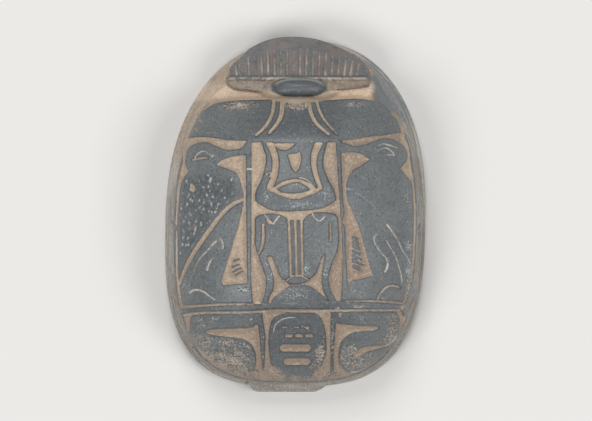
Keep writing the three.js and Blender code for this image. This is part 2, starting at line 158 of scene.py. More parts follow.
# The carving, seen from above. A tuple is a stroke: its widths, then its places.
def leftBaboonGround():
    nape = outline(
        [(-22, 15.2), (-20, 15.35), (-18.5, 15.4), (-17, 15.3), (-15, 15), (-13, 14.7)],
        [(-9.7, 14.6), (-10.5, 13.4), (-11, 13.1), (-12.5, 12.9), (-14, 12.95), (-15.5, 13.5),
         (-17.3, 14.3), (-18.5, 14.4), (-20.3, 14), (-21.5, 12.9), (-22, 10.4)],
        [(-21.6, 9.2), (-21.3, 8.5), (-22, 7.8), (-22.8, 6.2), (-23.1, 4), (-23.4, 0)],
        [(-23.6, -2.4)],
        [(-23.95, -1.9), (-23.8, 0), (-23.5, 3.5), (-23.2, 7.2), (-22.6, 10), (-22.3, 13.2)])
    muzzle = outline(
        [(-15.7, 9.9), (-14.4, 10.85), (-12.5, 11.45)],
        [(-9.9, 11.8), (-9.8, 2), (-9.7, -6)],
        [(-9.55, -13.6)],
        [(-14.3, -14)],
        [(-14.7, -13.2), (-13.6, -9.8), (-12.1, -5), (-10.75, 0), (-10.25, 3.6), (-10.8, 6.2),
         (-11.6, 8.1), (-13.4, 9.05)])
    arm = ([0.65, 0.8, 0.75, 0.6], (-10.5, 2.9), (-12.4, 2.05), (-14.4, 0.3), (-16.2, -1.9),
           (-18, -4.4), (-19.7, -6.8), (-21.2, -9.3), (-22.3, -11.6), (-23.1, -13.8))
    flank = ([0.35, 0.4, 0.5, 0.6], (-23.65, -3.3), (-23.65, -11), (-23.2, -15.8), (-22.75, -18.2))
    ledge = ([0.75, 0.45, 0.5, 0.4, 0.25], (-22.7, -18.4), (-20.5, -18.3), (-16, -17.95),
             (-12, -17.8), (-8.4, -17.75))
    eye = ([0.4, 0.35], (-20.5, 10.85), (-19.8, 11), (-18.8, 11.2), (-17.5, 11.3))
    chip = ([0.55, 0.95, 0.85], (-20.65, 5.95), (-20.45, 5.3), (-20.4, 4.85))
    return [nape, muzzle, arm, flank, ledge, eye, chip]


def rightBaboonGround():
    nape = outline(
        [(8.9, 14.6), (11.5, 14.9), (14.5, 15.4), (17.5, 15.7), (20.9, 16.3)],
        [(21.8, 15.2), (22.6, 13.4), (22.9, 10.5), (23.5, 7), (23.95, 2), (24, -3)],
        [(23.6, -3), (23.55, 1), (23.2, 6), (22.2, 7.6)],
        [(20.8, 9.1)],
        [(22.1, 10.6), (22.3, 12.1), (21.5, 13.7), (19.3, 15.05), (17.2, 15.1), (13.7, 13.95),
         (11.5, 13.65)])
    muzzle = outline(
        [(9.1, 12.1), (11, 12.3), (13, 11.95)],
        [(14.65, 10.9), (13.4, 10), (11.4, 8.8), (10.2, 6.8), (10.2, 3.2), (11.1, 1.1),
         (12.4, -2.2), (13.6, -6), (14.8, -10.5)],
        [(15.5, -12.1)],
        [(13, -12.75), (11, -13.2)],
        [(10.5, -14.8), (10, -8), (9.85, -2.8), (9.25, -1.5), (9.7, 0.3), (9.4, 4)])
    foot = ([0.25, 0.35, 0.45, 0.3], (16.2, -16.9), (16.4, -16.4), (17.6, -14.7), (19.2, -14.1),
            (20.8, -14.6))
    ledge = ([0.15, 0.3, 0.45, 0.4], (9.4, -17.2), (13, -17.2), (17, -17.3), (21.4, -17.7))
    border = ([0.4, 0.4, 0.45, 0.6, 0.5], (23.75, -2.5), (23.6, -7.3), (23.1, -11.9), (22.3, -15),
              (21.7, -17.4))
    breastEnd = ([0.3, 0.7, 0.9, 0.8], (19.5, 20.4), (20.6, 18.9), (21.3, 17.2), (21.5, 15.9))
    return [nape, muzzle, foot, ledge, border, breastEnd]


def beetleGround():
    leftChannel = outline(
        [(-8.7, 14.4), (-8.7, 5), (-8.75, -5), (-8.7, -14)],
        [(-8.3, -17.8)],
        [(-6.9, -17.8), (-6, -15.2), (-5.95, -12.5), (-6.9, -9.6), (-8.05, -6), (-8.05, -3),
         (-7.95, 4), (-6.6, 7.4), (-5.85, 11), (-6.3, 12.7)],
        [(-6.8, 14.4)])
    rightChannel = outline(
        [(8, 14.4), (8.3, 9), (8.85, 1), (9.2, -5), (9.3, -11)],
        [(8.9, -17.1)],
        [(8.1, -17.1), (7.1, -15.2), (6.65, -12.7), (7.2, -10.1), (8.5, -6.6), (8.6, -3),
         (7.95, 3.8), (6.6, 6.9), (5.6, 9.6), (5.75, 12)],
        [(6.4, 14.4)])
    shoulders = outline(
        [(-8.3, 3), (-7, 1.95), (-4.8, 0.85), (-2, 0.6), (2, 0.75), (5, 1.2), (7, 2.05)],
        [(8.3, 3.1)],
        [(8.7, -0.9), (7.6, 0.2), (5, 0.5), (2.8, 0.15)],
        [(1.5, -1.1)],
        [(-1.5, -1), (-2.8, -0.1), (-5, 0.25), (-7.2, -0.1)],
        [(-8.3, -1)])
    hornLeft = ([1.3, 1.2, 1.2, 1.1], (-5.1, 14), (-4.2, 12), (-3.95, 9.8), (-4.3, 7.4), (-5.1, 5.4))
    hornRight = ([1.5, 1.1, 0.9, 0.8], (4.6, 14.1), (3.8, 12), (3.65, 9.8), (4.1, 7.6), (4.9, 5.3))
    brow = outline([(-4.6, 14.1)], [(0, 14.1), (-1.4, 13), (-2.9, 12.9)])
    tongue = outline([(-1.5, 11.8), (-0.6, 12), (0.2, 12.1)],
                     [(0.8, 12.5), (1.15, 11.4), (1, 10.2), (0.55, 8.9), (0.05, 8.45), (-0.45, 8.9),
                      (-0.95, 10)])
    hornRing = ([0.95, 0.8], (-5.35, 7.9), (-4.8, 7.9))
    notch = ([0.3, 0.75, 0.5], (-5.6, -1.05), (-5, -1.65), (-4.75, -1.5))
    spine = [([0.46, 0.44], (side * 1.25 - 0.08, -0.9), (side * 1.15 + 0.25, -12.1))
             for side in (-1, 0, 1)]
    wingLeft = ([0.45, 0.6, 0.5, 0.3], (-6.4, -2.1), (-6.4, -4.8), (-6.8, -6.8), (-7.3, -7.7))
    wingRight = ([0.35], (6.9, -1.7), (6.95, -5.2))
    legLeft = outline(
        [(-5.35, -8.3), (-5.5, -8.9), (-5.1, -10), (-4.6, -11.3), (-4.25, -12.5), (-4.2, -13.7),
         (-4.45, -15.1), (-5.1, -16.3), (-5.35, -17.3)],
        [(-5, -17.7)],
        [(-4.7, -17), (-4.3, -16.4), (-3.2, -15.7), (-2.2, -14.9)],
        [(-1.3, -14.15)],
        [(-1.9, -13.5)],
        [(-2.1, -13.1), (-2.7, -12.75), (-3.3, -11.9), (-3.75, -10.7), (-4.3, -9.2), (-4.8, -8.4)])
    legRight = outline(
        [(5.8, -7.9), (5.4, -10.3), (5.1, -13), (5.5, -15.2)],
        [(6.5, -17.1)],
        [(5.4, -16), (4, -14.9), (3, -14.2)],
        [(1.6, -13.9), (2.6, -13.2)],
        [(2.9, -12.85), (4.2, -11.5), (5.1, -9)])
    tailTop = ([0.22, 0.3, 0.22], (-2, -13.25), (-1, -12.55), (-0.3, -12.15), (1.1, -12.15),
               (2.1, -12.65), (2.9, -13.1))
    tailBase = ([0.2, 0.14, 0.2], (-1.9, -13.5), (-1.1, -13.95), (0, -13.98), (1, -13.9), (2.4, -13.4))
    return [leftChannel, rightChannel, shoulders, hornLeft, hornRight, hornRing, notch, brow, tongue,
            *spine, wingLeft, wingRight, legLeft, legRight, tailTop, tailBase]


# The almond eye is a ring of ground, so its pupil stays raised.
def eyeRingDistance(x, y):
    almond = outline(
        [(-5.8, 5.1), (-4.2, 5.4), (-2.6, 6.45), (0, 7.05), (2.4, 6.4), (3.7, 5.3)],
        [(5.1, 5.1), (3.2, 3.95), (0, 3.1), (-2.8, 3.7)])
    pupil = outline(
        [(-3.8, 5), (-1.8, 6), (0.4, 6.45), (2.1, 5.7)],
        [(3.1, 4.9), (0.5, 4.2), (-2.6, 4.3)])
    return np.maximum(nearest(x, y, [almond]), -nearest(x, y, [pupil]))


def lowerGround():
    bar = ([0.6, 0.45, 0.5, 0.45, 0.6, 0.55, 0.45, 0.5], (-22.3, -20.1), (-20, -19.7), (-16, -19.5),
           (-10, -19.45), (-4, -19.05), (3, -19.15), (12, -19.05), (20.6, -19.1))
    cartoucheLeft = outline(
        [(-6.55, -19.3), (-6.35, -21.5), (-5.95, -24), (-6, -27), (-6.15, -30)],
        [(-6.3, -32)],
        [(-4.2, -30.8), (-4.9, -29.7), (-5.2, -28), (-5.4, -26), (-5.3, -23.6), (-4.9, -21.4),
         (-4.2, -20.3), (-3, -19.8)],
        [(-1.5, -19.3)])
    cartoucheRight = outline(
        [(3.5, -19.3), (4.9, -20.2), (5.6, -21.8), (6, -23.5), (6.2, -26), (6, -28), (5.2, -30),
         (4.2, -31)],
        [(3.4, -32)],
        [(6.95, -32), (6.95, -25)],
        [(6.95, -19.3)])
    wedgeLeft = outline(
        [(-17.9, -23.4), (-16.8, -22.95), (-14, -22.75), (-10, -22.6), (-8.3, -22.3)],
        [(-7.9, -21.7)],
        [(-7.45, -22.1), (-7.15, -24.5), (-6.95, -27.5)],
        [(-6.5, -31.5)],
        [(-8.2, -31), (-7.8, -29), (-7.95, -27.5), (-8.5, -26.2), (-9.6, -25.1), (-11, -24.6),
         (-14, -24.25), (-16.6, -23.9)])
    wedgeRight = outline(
        [(8.05, -21.6), (10, -21.9), (13, -22.15), (15.7, -22.25)],
        [(16.6, -22.6)],
        [(15.2, -23.1), (13, -23.2), (11.2, -23.5), (9.9, -24.3), (9.05, -25.4),
         (8.65, -26.8), (8.55, -29), (9.1, -30.4)],
        [(10.3, -31.5)],
        [(7.7, -31.5), (7.65, -28), (7.9, -24)])
    cornerLeft = outline([(-22.4, -19.9)], [(-20.4, -20), (-21, -20.8)], [(-21.1, -23.3)],
                         [(-21.6, -23.5), (-21.95, -21.5)])
    hip = ([0.3, 0.6, 0.9, 1.1, 0.7], (18.3, -26.05), (17.2, -26.3), (15.5, -26.6), (13.6, -27),
           (12.3, -27.8), (11.7, -28.8))
    rimRight = ([0.9, 0.7, 0.55, 0.6, 0.8, 0.8, 0.6, 0.45], (20.7, -19.6), (21.2, -21.2), (20.9, -23.5),
                (20.2, -25.5), (18.8, -27.8), (17.2, -29.4), (14.8, -30.9), (11.5, -31.9))
    return [bar, cartoucheLeft, cartoucheRight, wedgeLeft, wedgeRight, cornerLeft, hip, rimRight]


# Rows of plain strokes inside the cartouche: y, length, width, places across.
cartoucheRows = [
    (-22.4, 0.8, 0.3, (-2.1, 0.2, 2.3)),
    (-24.1, 1.0, 0.6, (-1.3, 0.7, 2.7)),
    (-26.55, 4.8, 1.4, (0.0,)),
    (-29.3, 4.0, 1.3, (0.3,)),
]


def cartoucheStrokes():
    return [([width], (x - length / 2, y), (x + length / 2, y))
            for y, length, width, places in cartoucheRows for x in places]


def breastGrooves():
    return [
        ([0.65, 0.6, 0.45], (-4.3, 22.8), (-4.5, 20.6), (-5.2, 18.7), (-6.3, 17.1), (-7.8, 15.8)),
        ([0.9, 0.8, 0.5], (-2.6, 22.8), (-2.75, 20.2), (-3.5, 18.3), (-5.2, 16.2)),
        ([0.8, 0.7, 0.4], (2.6, 22.6), (3.2, 19.8), (4.5, 17.7), (6.6, 15.9)),
        ([0.55, 0.45, 0.2], (4.2, 22.6), (4.9, 20.3), (6.2, 18.2), (8.3, 15.9)),
    ]


# Dark places left standing in the ground: hatching under each baboon's arm, the horn ring's middle.
def standingParts():
    leftHatch = [((-12.1, -9.2), (-11.2, -8.8)), ((-12.5, -10.4), (-11.2, -9.9)),
                 ((-12.3, -11.3), (-10.8, -10.6)), ((-11.8, -12), (-10.4, -11.2))]
    rightHatch = [((11.5, -4.6), (12, -4.9)), ((11.6, -5.4), (12.3, -5.8)), ((11.6, -6.2), (12.5, -6.7)),
                  ((11.5, -7.2), (12.6, -7.8)), ((11.5, -8.1), (12.8, -8.8)),
                  ((11.5, -9), (13.3, -9.8)), ((11.6, -10.3), (12.6, -10.8))]
    hornRingMiddle = ([0.55], (-5.4, 7.9), (-5.2, 7.9))
    return [*[([0.5, 0.4], *ends) for ends in leftHatch],
            *[([0.8, 0.75], *ends) for ends in rightHatch], hornRingMiddle]


# Fine incised lines: width, then places.
incisedLines = [
    # left baboon: brow, back of the leg, eye, foot, arm
    ([0.22], (-20, 11.1), (-19.7, 11.8), (-19, 12.4), (-18.2, 12.6), (-17.4, 12.2), (-16.6, 11.6)),
    ([0.3, 0.25, 0.12, 0.1, 0.12], (-15.7, -5.3), (-16.5, -6), (-17.3, -7), (-18.4, -8.1), (-19.2, -9),
     (-19.9, -10.5), (-20.5, -12), (-21, -13.4), (-21.3, -14.5), (-21.2, -15.3)),
    ([0.25, 0.15], (-20.5, 10.85), (-19.4, 11.05), (-17.8, 11.25)),
    ([0.4, 0.35, 0.2], (-21.1, -15.6), (-20.4, -15.1), (-19.5, -15), (-18.3, -15.3), (-17.2, -16.1),
     (-15.9, -17)),
    ([0.25], (-14.9, -4.8), (-14.5, -5.4), (-14.3, -6.2), (-14.4, -6.8)),
    ([0.35, 0.2], (-17.5, -11), (-16.9, -9.3), (-16.2, -8.6)),
    ([0.3, 0.3], (-19.8, -2.4), (-20.2, -3.9)),
    ([0.35, 0.35], (-9.6, 9), (-8.8, 9)),
    # right baboon: brow, eye, arm, back of the leg, foot
    ([0.2, 0.28, 0.15], (16.5, 13.7), (17.1, 13.95), (17.7, 14), (18.8, 13.75), (20.3, 13.25)),
    ([0.12, 0.22, 0.2], (16.3, 12.5), (17, 13), (17.8, 13.25), (18.6, 12.95), (19.4, 12.3), (19.9, 11.9)),
    ([0.2, 0.25], (17.9, 11.85), (19.8, 11.85)),
    ([0.2, 0.2], (10.2, 5), (10.9, 4.95)),
    ([0.06, 0.1, 0.1], (11.7, 4.4), (12.9, 3.6), (14, 2.8), (15, 1.9), (15.8, 1.1), (16.7, 0),
     (17.5, -0.9), (18.2, -2)),
    ([0.1, 0.35, 0.35, 0.3], (16.4, -16.5), (17.6, -14.8), (19.2, -14.2), (20.7, -14.6)),
    ([0.12, 0.2, 0.1], (23.6, 4), (23.75, -2.5), (23.6, -7.3)),
    # pale stone showing in the outer grooves
    ([0.1, 0.3, 0.1, 0.25], (-23.35, 7), (-23.55, 3.5), (-23.75, 0), (-23.8, -2.2)),
    ([0.2, 0.3, 0.15, 0.3], (-23.7, -3.6), (-23.65, -8), (-23.55, -12), (-23, -16.5)),
    ([0.15, 0.3, 0.2, 0.3], (3.5, -19.15), (9, -19.1), (14, -19.05), (20.5, -19.1)),
    ([0.1, 0.3, 0.25, 0.2], (11, -17.25), (14, -17.2), (18, -17.35), (21.3, -17.7)),
    ([0.3, 0.2, 0.3, 0.15], (-22.3, -20.1), (-18, -19.6), (-12, -19.45), (-6, -19.3)),
    ([0.15, 0.3, 0.2], (-21.8, -18.35), (-18, -18.1), (-12, -17.8)),
    # pale lines across the right hatching
    ([0.1, 0.2, 0.1], (11.4, -5), (12.2, -5.4)), ([0.26, 0.28, 0.2], (11.1, -6.7), (12.6, -7.4)),
    ([0.22, 0.28, 0.2], (12, -8), (13.2, -8.65)), ([0.22, 0.3, 0.24], (12.3, -8.95), (13.6, -9.75)),
    ([0.22, 0.3, 0.22], (11, -9.6), (12.9, -10.25)),
    ([0.4, 0.3], (18.2, -2.1), (18.7, -2.7), (19.1, -3.3)),
    ([0.25], (19, -3.2), (20.3, -5), (21.2, -7), (22.2, -8.4), (22.9, -9.9)),
    ([0.25], (18, -5.2), (19, -6.8), (20, -8.6), (20.5, -10.2), (21, -12), (21.2, -13.6)),
    ([0.22, 0.25], (16, -4), (15.55, -4.6), (15.5, -5.1), (16, -6.2), (16.9, -7.5), (18, -8.7),
     (18.3, -9.8)),
    ([0.4, 0.45, 0.3], (18.3, -9.9), (18.1, -10.7), (17.75, -11.4)),
    # beetle: shoulder notches and scratches round the eye
    ([0.3], (-6, -0.1), (-5.5, -0.8), (-4.8, -1.5), (-4.4, -1.9), (-4, -1.3), (-3.2, -0.3)),
    ([0.25], (3.3, 0.3), (3.6, -0.4), (4.1, -0.9), (4.7, -1.3), (5.2, -1), (5.8, -0.4)),
    ([0.2], (0.8, 7.3), (1.8, 7.1), (2.6, 6.6), (3.2, 5.9), (3.7, 5.3)),
    ([0.04, 0.07, 0.04], (-8.4, -17.72), (0, -17.5), (9.4, -17.2)),
    # below the cross bar
    ([0.25], (20.2, -24), (19.6, -25), (18.8, -25.7), (18.1, -26.2)),
    ([0.25], (17.8, -28.7), (16.5, -29.6), (15, -30.4), (13, -31.2), (11, -31.5)),
    ([0.16, 0.2, 0.16], (-4.4, -23.5), (-4, -21.9), (-3, -21), (-1.7, -20.5), (0, -20.35)),
    ([0.3, 0.25], (21.7, -20.4), (21.5, -22), (21, -23.8), (20.5, -25)),
    ([0.2, 0.15], (1.3, -22.2), (2.7, -22.8)),
    # knob's upper edge: a fine cut line painted pale as a highlight where the edge catches the light
    ([0.12, 0.25, 0.12], (-4.2, 26.1), (-2, 26.85), (0.8, 27.05), (4, 26.6)),
    # breast plate
    ([0.18, 0.2], (-14, 21), (-10, 22)), ([0.15, 0.15], (-18, 16.2), (-16, 16.3)),
]

# Short pecks in the left baboon's mane, and one by its eye: x, y, radius.
manePecks = [
    (-17.3, 7.7, 0.2), (-16.9, 6.9, 0.3), (-15.3, 6.1, 0.2), (-18.3, 5.4, 0.2), (-17.3, 5.5, 0.2),
    (-21.7, 6.6, 0.2), (-19.2, 6.7, 0.2), (-12.6, 6.9, 0.2), (-12.5, 4.1, 0.2), (-17.6, 3.9, 0.2),
    (-16.3, 3.5, 0.2), (-21.4, 3.6, 0.2), (-20.5, 2.7, 0.2), (-19.1, 2.8, 0.2), (-18.2, 2.4, 0.2),
    (-16.7, 2.2, 0.2), (-15.3, 2.05, 0.2), (-21.6, 2, 0.2), (-22.8, 1.2, 0.2), (-19, 1.4, 0.2),
    (-18.3, 1.1, 0.2), (-16.6, 0.5, 0.2), (-15.8, 0.5, 0.2), (-20.8, -0.1, 0.2),
    (-21.1, -1.7, 0.2), (-19.7, -1.3, 0.2), (-18.7, -2, 0.2), (-22.3, -3.4, 0.2),
    (-22.4, -4.6, 0.2), (-21.4, -4.7, 0.2), (-21.3, -6, 0.2), (-22.5, -6, 0.2), (-16.5, 11.6, 0.25),
]

# The fainter pecks of the mane lie in slanted rows between the ones above. A peck leans by so many
# degrees, every third one the other way.
mane = {"rows": 21, "inRow": 14, "firstX": -23.4, "firstY": 8.5,
        "rowPitch": 0.95, "alongPitch": 1.05, "slant": 0.35, "radius": 0.16, "jitter": 0.16, "seed": 11,
        "lean": 20, "slimness": 0.5}


def maneField():
    return outline([(-22.3, 7.4), (-19, 8), (-15, 7.3), (-12, 6.4)],
                   [(-12.2, 3.6), (-14.6, 1.4), (-16.6, -0.9), (-18.6, -3.6), (-20.6, -6.4)],
                   [(-22.4, -10.2)],
                   [(-23.2, -12), (-23.2, -2), (-22.8, 3)])


def maneRows():
    random = np.random.default_rng(mane["seed"])
    pecks = []
    for row in range(mane["rows"]):
        for step in range(mane["inRow"]):
            x = mane["firstX"] + step * mane["alongPitch"] + (row % 2) * mane["alongPitch"] / 2
            y = mane["firstY"] - row * mane["rowPitch"] - mane["slant"] * step
            x += random.uniform(-mane["jitter"], mane["jitter"])
            y += random.uniform(-mane["jitter"], mane["jitter"])
            pecks.append((x, y, mane["radius"] * random.uniform(0.3, 1.2)))
    places = np.array(pecks)
    inField = nearest(places[:, 0], places[:, 1], [maneField()]) < 0
    return [peck for peck, kept in zip(pecks, inField) if kept]


# Distance to the nearest peck: an upright dot, drawn out and leant over.
def peckDistance(x, y):
    best = np.full(len(x), farAway)
    for i, (px, py, radius) in enumerate(manePecks + maneRows()):
        near = np.flatnonzero((np.abs(x - px) < farAway) & (np.abs(y - py) < farAway))
        ex, ey = x[near] - px, y[near] - py
        lean = math.radians(mane["lean"] if i % 3 else -mane["lean"])
        gap = np.hypot(ex * math.cos(lean) - ey * math.sin(lean),
                       (ey * math.cos(lean) + ex * math.sin(lean)) * mane["slimness"])
        best[near] = np.minimum(best[near], gap - radius)
    return best


# Grooves on the head's plate, which fan out a little.
stripes = {"firstX": -11.7, "pitch": 1.26, "startY": 27.9, "topY": 32.6, "topBend": 0.018, "fan": 0.03,
           "depth": 0.35, "wall": (-0.1, 0.15),
           "widths": (0.5, 0.2, 0.55, 0.25, 0.5, 0.55, 0.45, 0.2, 0.3, 0.15, 0.5, 0.55, 0.5, 0.45,
                      0.5, 0.2, 0.3, 0.5, 0.5, 0.3)}


def shovelOutline():
    return outline(
        [(14.7, 27.05), (14.1, 29.1), (12.4, 31), (10.2, 32.6)],
        [(9.4, 33.05), (7, 34.05), (4, 35.05), (0.4, 35.5), (-3.5, 35.3), (-6.5, 34.5)],
        [(-9.4, 33), (-10.2, 32), (-10.7, 31.1), (-11.9, 29.9)],
        [(-12.7, 29.2)],
        [(-12.8, 28.1)],
        [(-13.3, 27.05)])


def tierOutline():
    return outline(
        [(-13.4, 27.15), (-13.5, 26.4), (-13, 25.7), (-11.5, 25.1), (-8.5, 24.8)],
        [(-6, 24.4)],
        [(6.4, 25), (10, 25.2)],
        [(14.4, 25.8)],
        [(14.8, 27.15)])


def neckOutline():
    return outline(
        [(-19.8, 19.6), (-18.9, 20.4), (-17.9, 21.1), (-15.5, 22.2), (-11.8, 22.7), (-5.5, 22.9),
         (0, 23.1), (6.5, 22.8), (12, 23.1), (16.3, 22.5), (17.7, 21.8), (18.7, 20.8), (19.6, 19.4)],
        [(20.6, 20), (20.6, 24)],
        [(20.6, 38)],
        [(-20.6, 38)],
        [(-20.6, 20)])


def stripeStrokes():
    strokes = []
    for i, width in enumerate(stripes["widths"]):
        x = stripes["firstX"] + i * stripes["pitch"]
        top = (x + stripes["fan"] * x, stripes["topY"] - stripes["topBend"] * x * x)
        strokes.append(([width, width, width / 2], (x, stripes["startY"]), top))
    return strokes


# How far the middle line has moved to the right at a place along it.
def drift(along):
    return scarab["lean"] * along + scarab["bend"] * np.maximum(along, 0) ** 2


# A square sheet's place, from -1 to 1 each way, drawn out to the oval.
def ovalPlace(u, v, sizes):
    power = np.where(v > 0, scarab["headPower"], scarab["tailPower"])
    across = u * (1 - np.abs(v) ** power / 2) ** (1 / power) * sizes[0]
    along = v * (1 - np.abs(u) ** power / 2) ** (1 / power) * np.where(v > 0, sizes[1], sizes[2])
    return across + drift(along), scarab["widestY"] + along


def insetSizes(sizes, inset):
    return tuple(size - inset for size in sizes)


# How far out a place lies: 0 in the middle, 1 on the oval's edge.
def ovalPart(x, y, sizes):
    along = y - scarab["widestY"]
    across = x - drift(along)
    power = np.where(along > 0, scarab["headPower"], scarab["tailPower"])
    reach = np.where(along > 0, sizes[1], sizes[2])
    return ((np.abs(across) / sizes[0]) ** power + (np.abs(along) / reach) ** power) ** (1 / power)


# Height of the back's edge, which drops towards both ends.
def edgeAt(y):
    along = y - scarab["widestY"]
    reach = np.where(along > 0, scarab["back"][1], scarab["back"][2])
    drop = np.where(along > 0, scarab["headEdgeDrop"], scarab["tailEdgeDrop"])
    return scarab["edgeHeight"] - drop * np.clip(np.abs(along) / reach, 0, 1) ** 3


# The sheet over the back runs out over the head, which stands past the back's own oval.
def sheetPlace(u, v):
    x, y = ovalPlace(u, v, scarab["back"])
    width, headReach = scarab["back"][0], scarab["back"][1]
    across = np.clip(np.abs(x - drift(y - scarab["widestY"])) / width, 0, 1)
    power = scarab["headPower"]
    ownEdge = scarab["widestY"] + headReach * (1 - across ** power) ** (1 / power)
    head = smoothRun([(-18, 21.5), (-16.4, 24.6), (-15.2, 26.4), (-14.2, 27.9), (-13.2, 29.2),
                      (-12.2, 30.2), (-11.2, 31.05), (-10.4, 31.8), (-9.8, 32.5), (-9.2, 33.1),
                      (-6.5, 34.5), (-3.5, 35.3), (0.4, 35.48), (4, 35.05), (7, 34.05),
                      (9.4, 33.05), (10.4, 32.5), (11.8, 31.8), (13.4, 30.8), (14.9, 29.3),
                      (15.9, 27.8), (17, 26), (18.4, 23)])
    headEdge = np.interp(x, head[:, 0], head[:, 1], left=0, right=0)
    foldY = 12.0
    stretch = np.maximum((headEdge - foldY) / np.maximum(ownEdge - foldY, 1), 1)
    return x, np.where(y > foldY, foldY + (y - foldY) * stretch, y)


def shovelHeight(x, y):
    return (scarab["shovelRise"] - scarab["shovelCrown"] * x * x
            - scarab["shovelFall"] * (y - scarab["shovelStartY"]))


# The bare form: the dome, and outside its edge the slope down to the plate.
def domeHeight(x, y, part):
    forward = (y - scarab["breastRearY"]) / (scarab["breastFrontY"] - scarab["breastRearY"])
    rise = scarab["crownHeight"] - scarab["edgeHeight"]
    rise = rise * (1 - scarab["breastFall"] * np.clip(forward, 0, 1.2) ** 2)
    z = edgeAt(y) + rise * (1 - np.clip(part, 0, 1) ** 2) ** scarab["domePower"]
    past = np.maximum(part - 1, 0)
    toFoot = np.maximum(1 - ovalPart(x, y, insetSizes(scarab["plate"], scarab["footInset"])), 0)
    slope = (past / np.maximum(past + toFoot, 1e-6)) ** (1 / scarab["flankPower"])
    return z + (scarab["plateHeight"] - z) * slope


# The carved form: height, and the distances and strengths that the material reads.
def sheetHeight(x, y):
    part = ovalPart(x, y, scarab["back"])
    z = domeHeight(x, y, part)

    cut = nearest(x, y, [*leftBaboonGround(), *rightBaboonGround(), *lowerGround(),
                         *cartoucheStrokes(), *breastGrooves()])
    beetle = np.maximum(nearest(x, y, beetleGround()), y - scarab["panelTopY"])
    cut = np.minimum(cut, np.minimum(beetle, eyeRingDistance(x, y)))
    standing = nearest(x, y, standingParts())
    cut = np.maximum(cut, -standing)
    neck = nearest(x, y, [neckOutline()])
    behindNeck = neck > 0
    # a narrow groove stays shallow, and wide ground reaches its full depth further in
    depth = scarab["reliefDepth"] * (1 + scarab["edgeReliefGain"] * part ** 4)
    floor = scarab["grooveShare"] * ease(-cut, *scarab["grooveWall"])
    floor += (1 - scarab["grooveShare"]) * ease(-cut, *scarab["groundWall"])
    z -= depth * floor * behindNeck
    fine, pecks = nearest(x, y, incisedLines), peckDistance(x, y)
    z -= scarab["lineDepth"] * ease(-np.minimum(fine, pecks), *scarab["lineWall"]) * behindNeck

    neckFloor = (scarab["neckHeight"] - scarab["neckCrown"] * x * x
                 - scarab["neckFall"] * (y - scarab["breastFrontY"]))
    kx, ky, kz = scarab["knobPlace"]
    ka, kb, kc = scarab["knobSize"]
    power = scarab["knobPower"]
    knobPart = (np.abs((x - kx) / ka) ** power + np.abs((y - ky) / kb) ** power) ** (1 / power)
    neckFloor += scarab["knobApron"] * ease(-knobPart, *scarab["apronReach"])  # filled in under the knob
    shoulder = scarab["shoulderStep"] + scarab["shoulderFall"] * ease(-np.abs(x), *scarab["shoulderSpan"])
    neckFloor = np.maximum(neckFloor, z - shoulder)
    z += (np.minimum(neckFloor, z) - z) * ease(-neck, *scarab["neckWall"])

    shovel = nearest(x, y, [shovelOutline()])
    tier = nearest(x, y, [tierOutline()])
    top = shovelHeight(x, y)
    z += (np.maximum(top - scarab["tierStep"], z) - z) * ease(-tier, *scarab["headWall"])
    z += (np.maximum(top, z) - z) * ease(-shovel, *scarab["headWall"])
    grooves = nearest(x, y, stripeStrokes())
    z -= stripes["depth"] * ease(-grooves, *stripes["wall"])
    knob = np.where(knobPart < 1, kz + kc * np.sqrt(np.clip(1 - knobPart ** 2, 0, 1)), 0)
    onKnob = knob > z
    z = np.maximum(z, knob)

    # what stays raised in the head, and the bare ground that starts a little way off from it
    knobEdge = (knobPart - 1) * kb
    head = np.minimum(shovel, tier)
    rising = np.minimum(head - 0.15, knobEdge)
    cut = np.minimum(cut, np.maximum(neck, 0.25 - rising))
    worn = wornAmount(x, y)
    pits = ease(patchNoise(x, y, *scarab["pitPatches"]) + worn / 2, 0.7, 0.95)
    z -= scarab["pitDepth"] * worn * pits * behindNeck
    chisel = patchNoise(x, y, *scarab["chiselPatches"]) - 0.5
    z += scarab["chiselDepth"] * chisel * ease(-cut, 0, 0.4)
    return z, {"cutEdge": cut, "lineEdge": fine, "peckEdge": pecks,
               "stripeEdge": np.where(onKnob | (shovel > 0), farAway, grooves),
               "headEdge": np.minimum(head, knobEdge), "knobEdge": knobEdge,
               "maneEdge": nearest(x, y, [maneField()]), "worn": worn, "glint": glintAmount(x, y)}


# Legs in relief on the sides, seen from the side: widths, then places (y, z).
legStrokes = [
    ([3, 2.4, 1.7], (10, 11.5), (15, 7.8), (21, 5.6), (28, 4.6)),
    ([3, 2.2, 1.6], (6, 11.5), (0, 7), (-5, 5), (-10, 4.6)),
    ([3, 2.4, 1.6], (-4, 11.5), (-11, 7.8), (-18, 5.4), (-26, 4.6)),
]


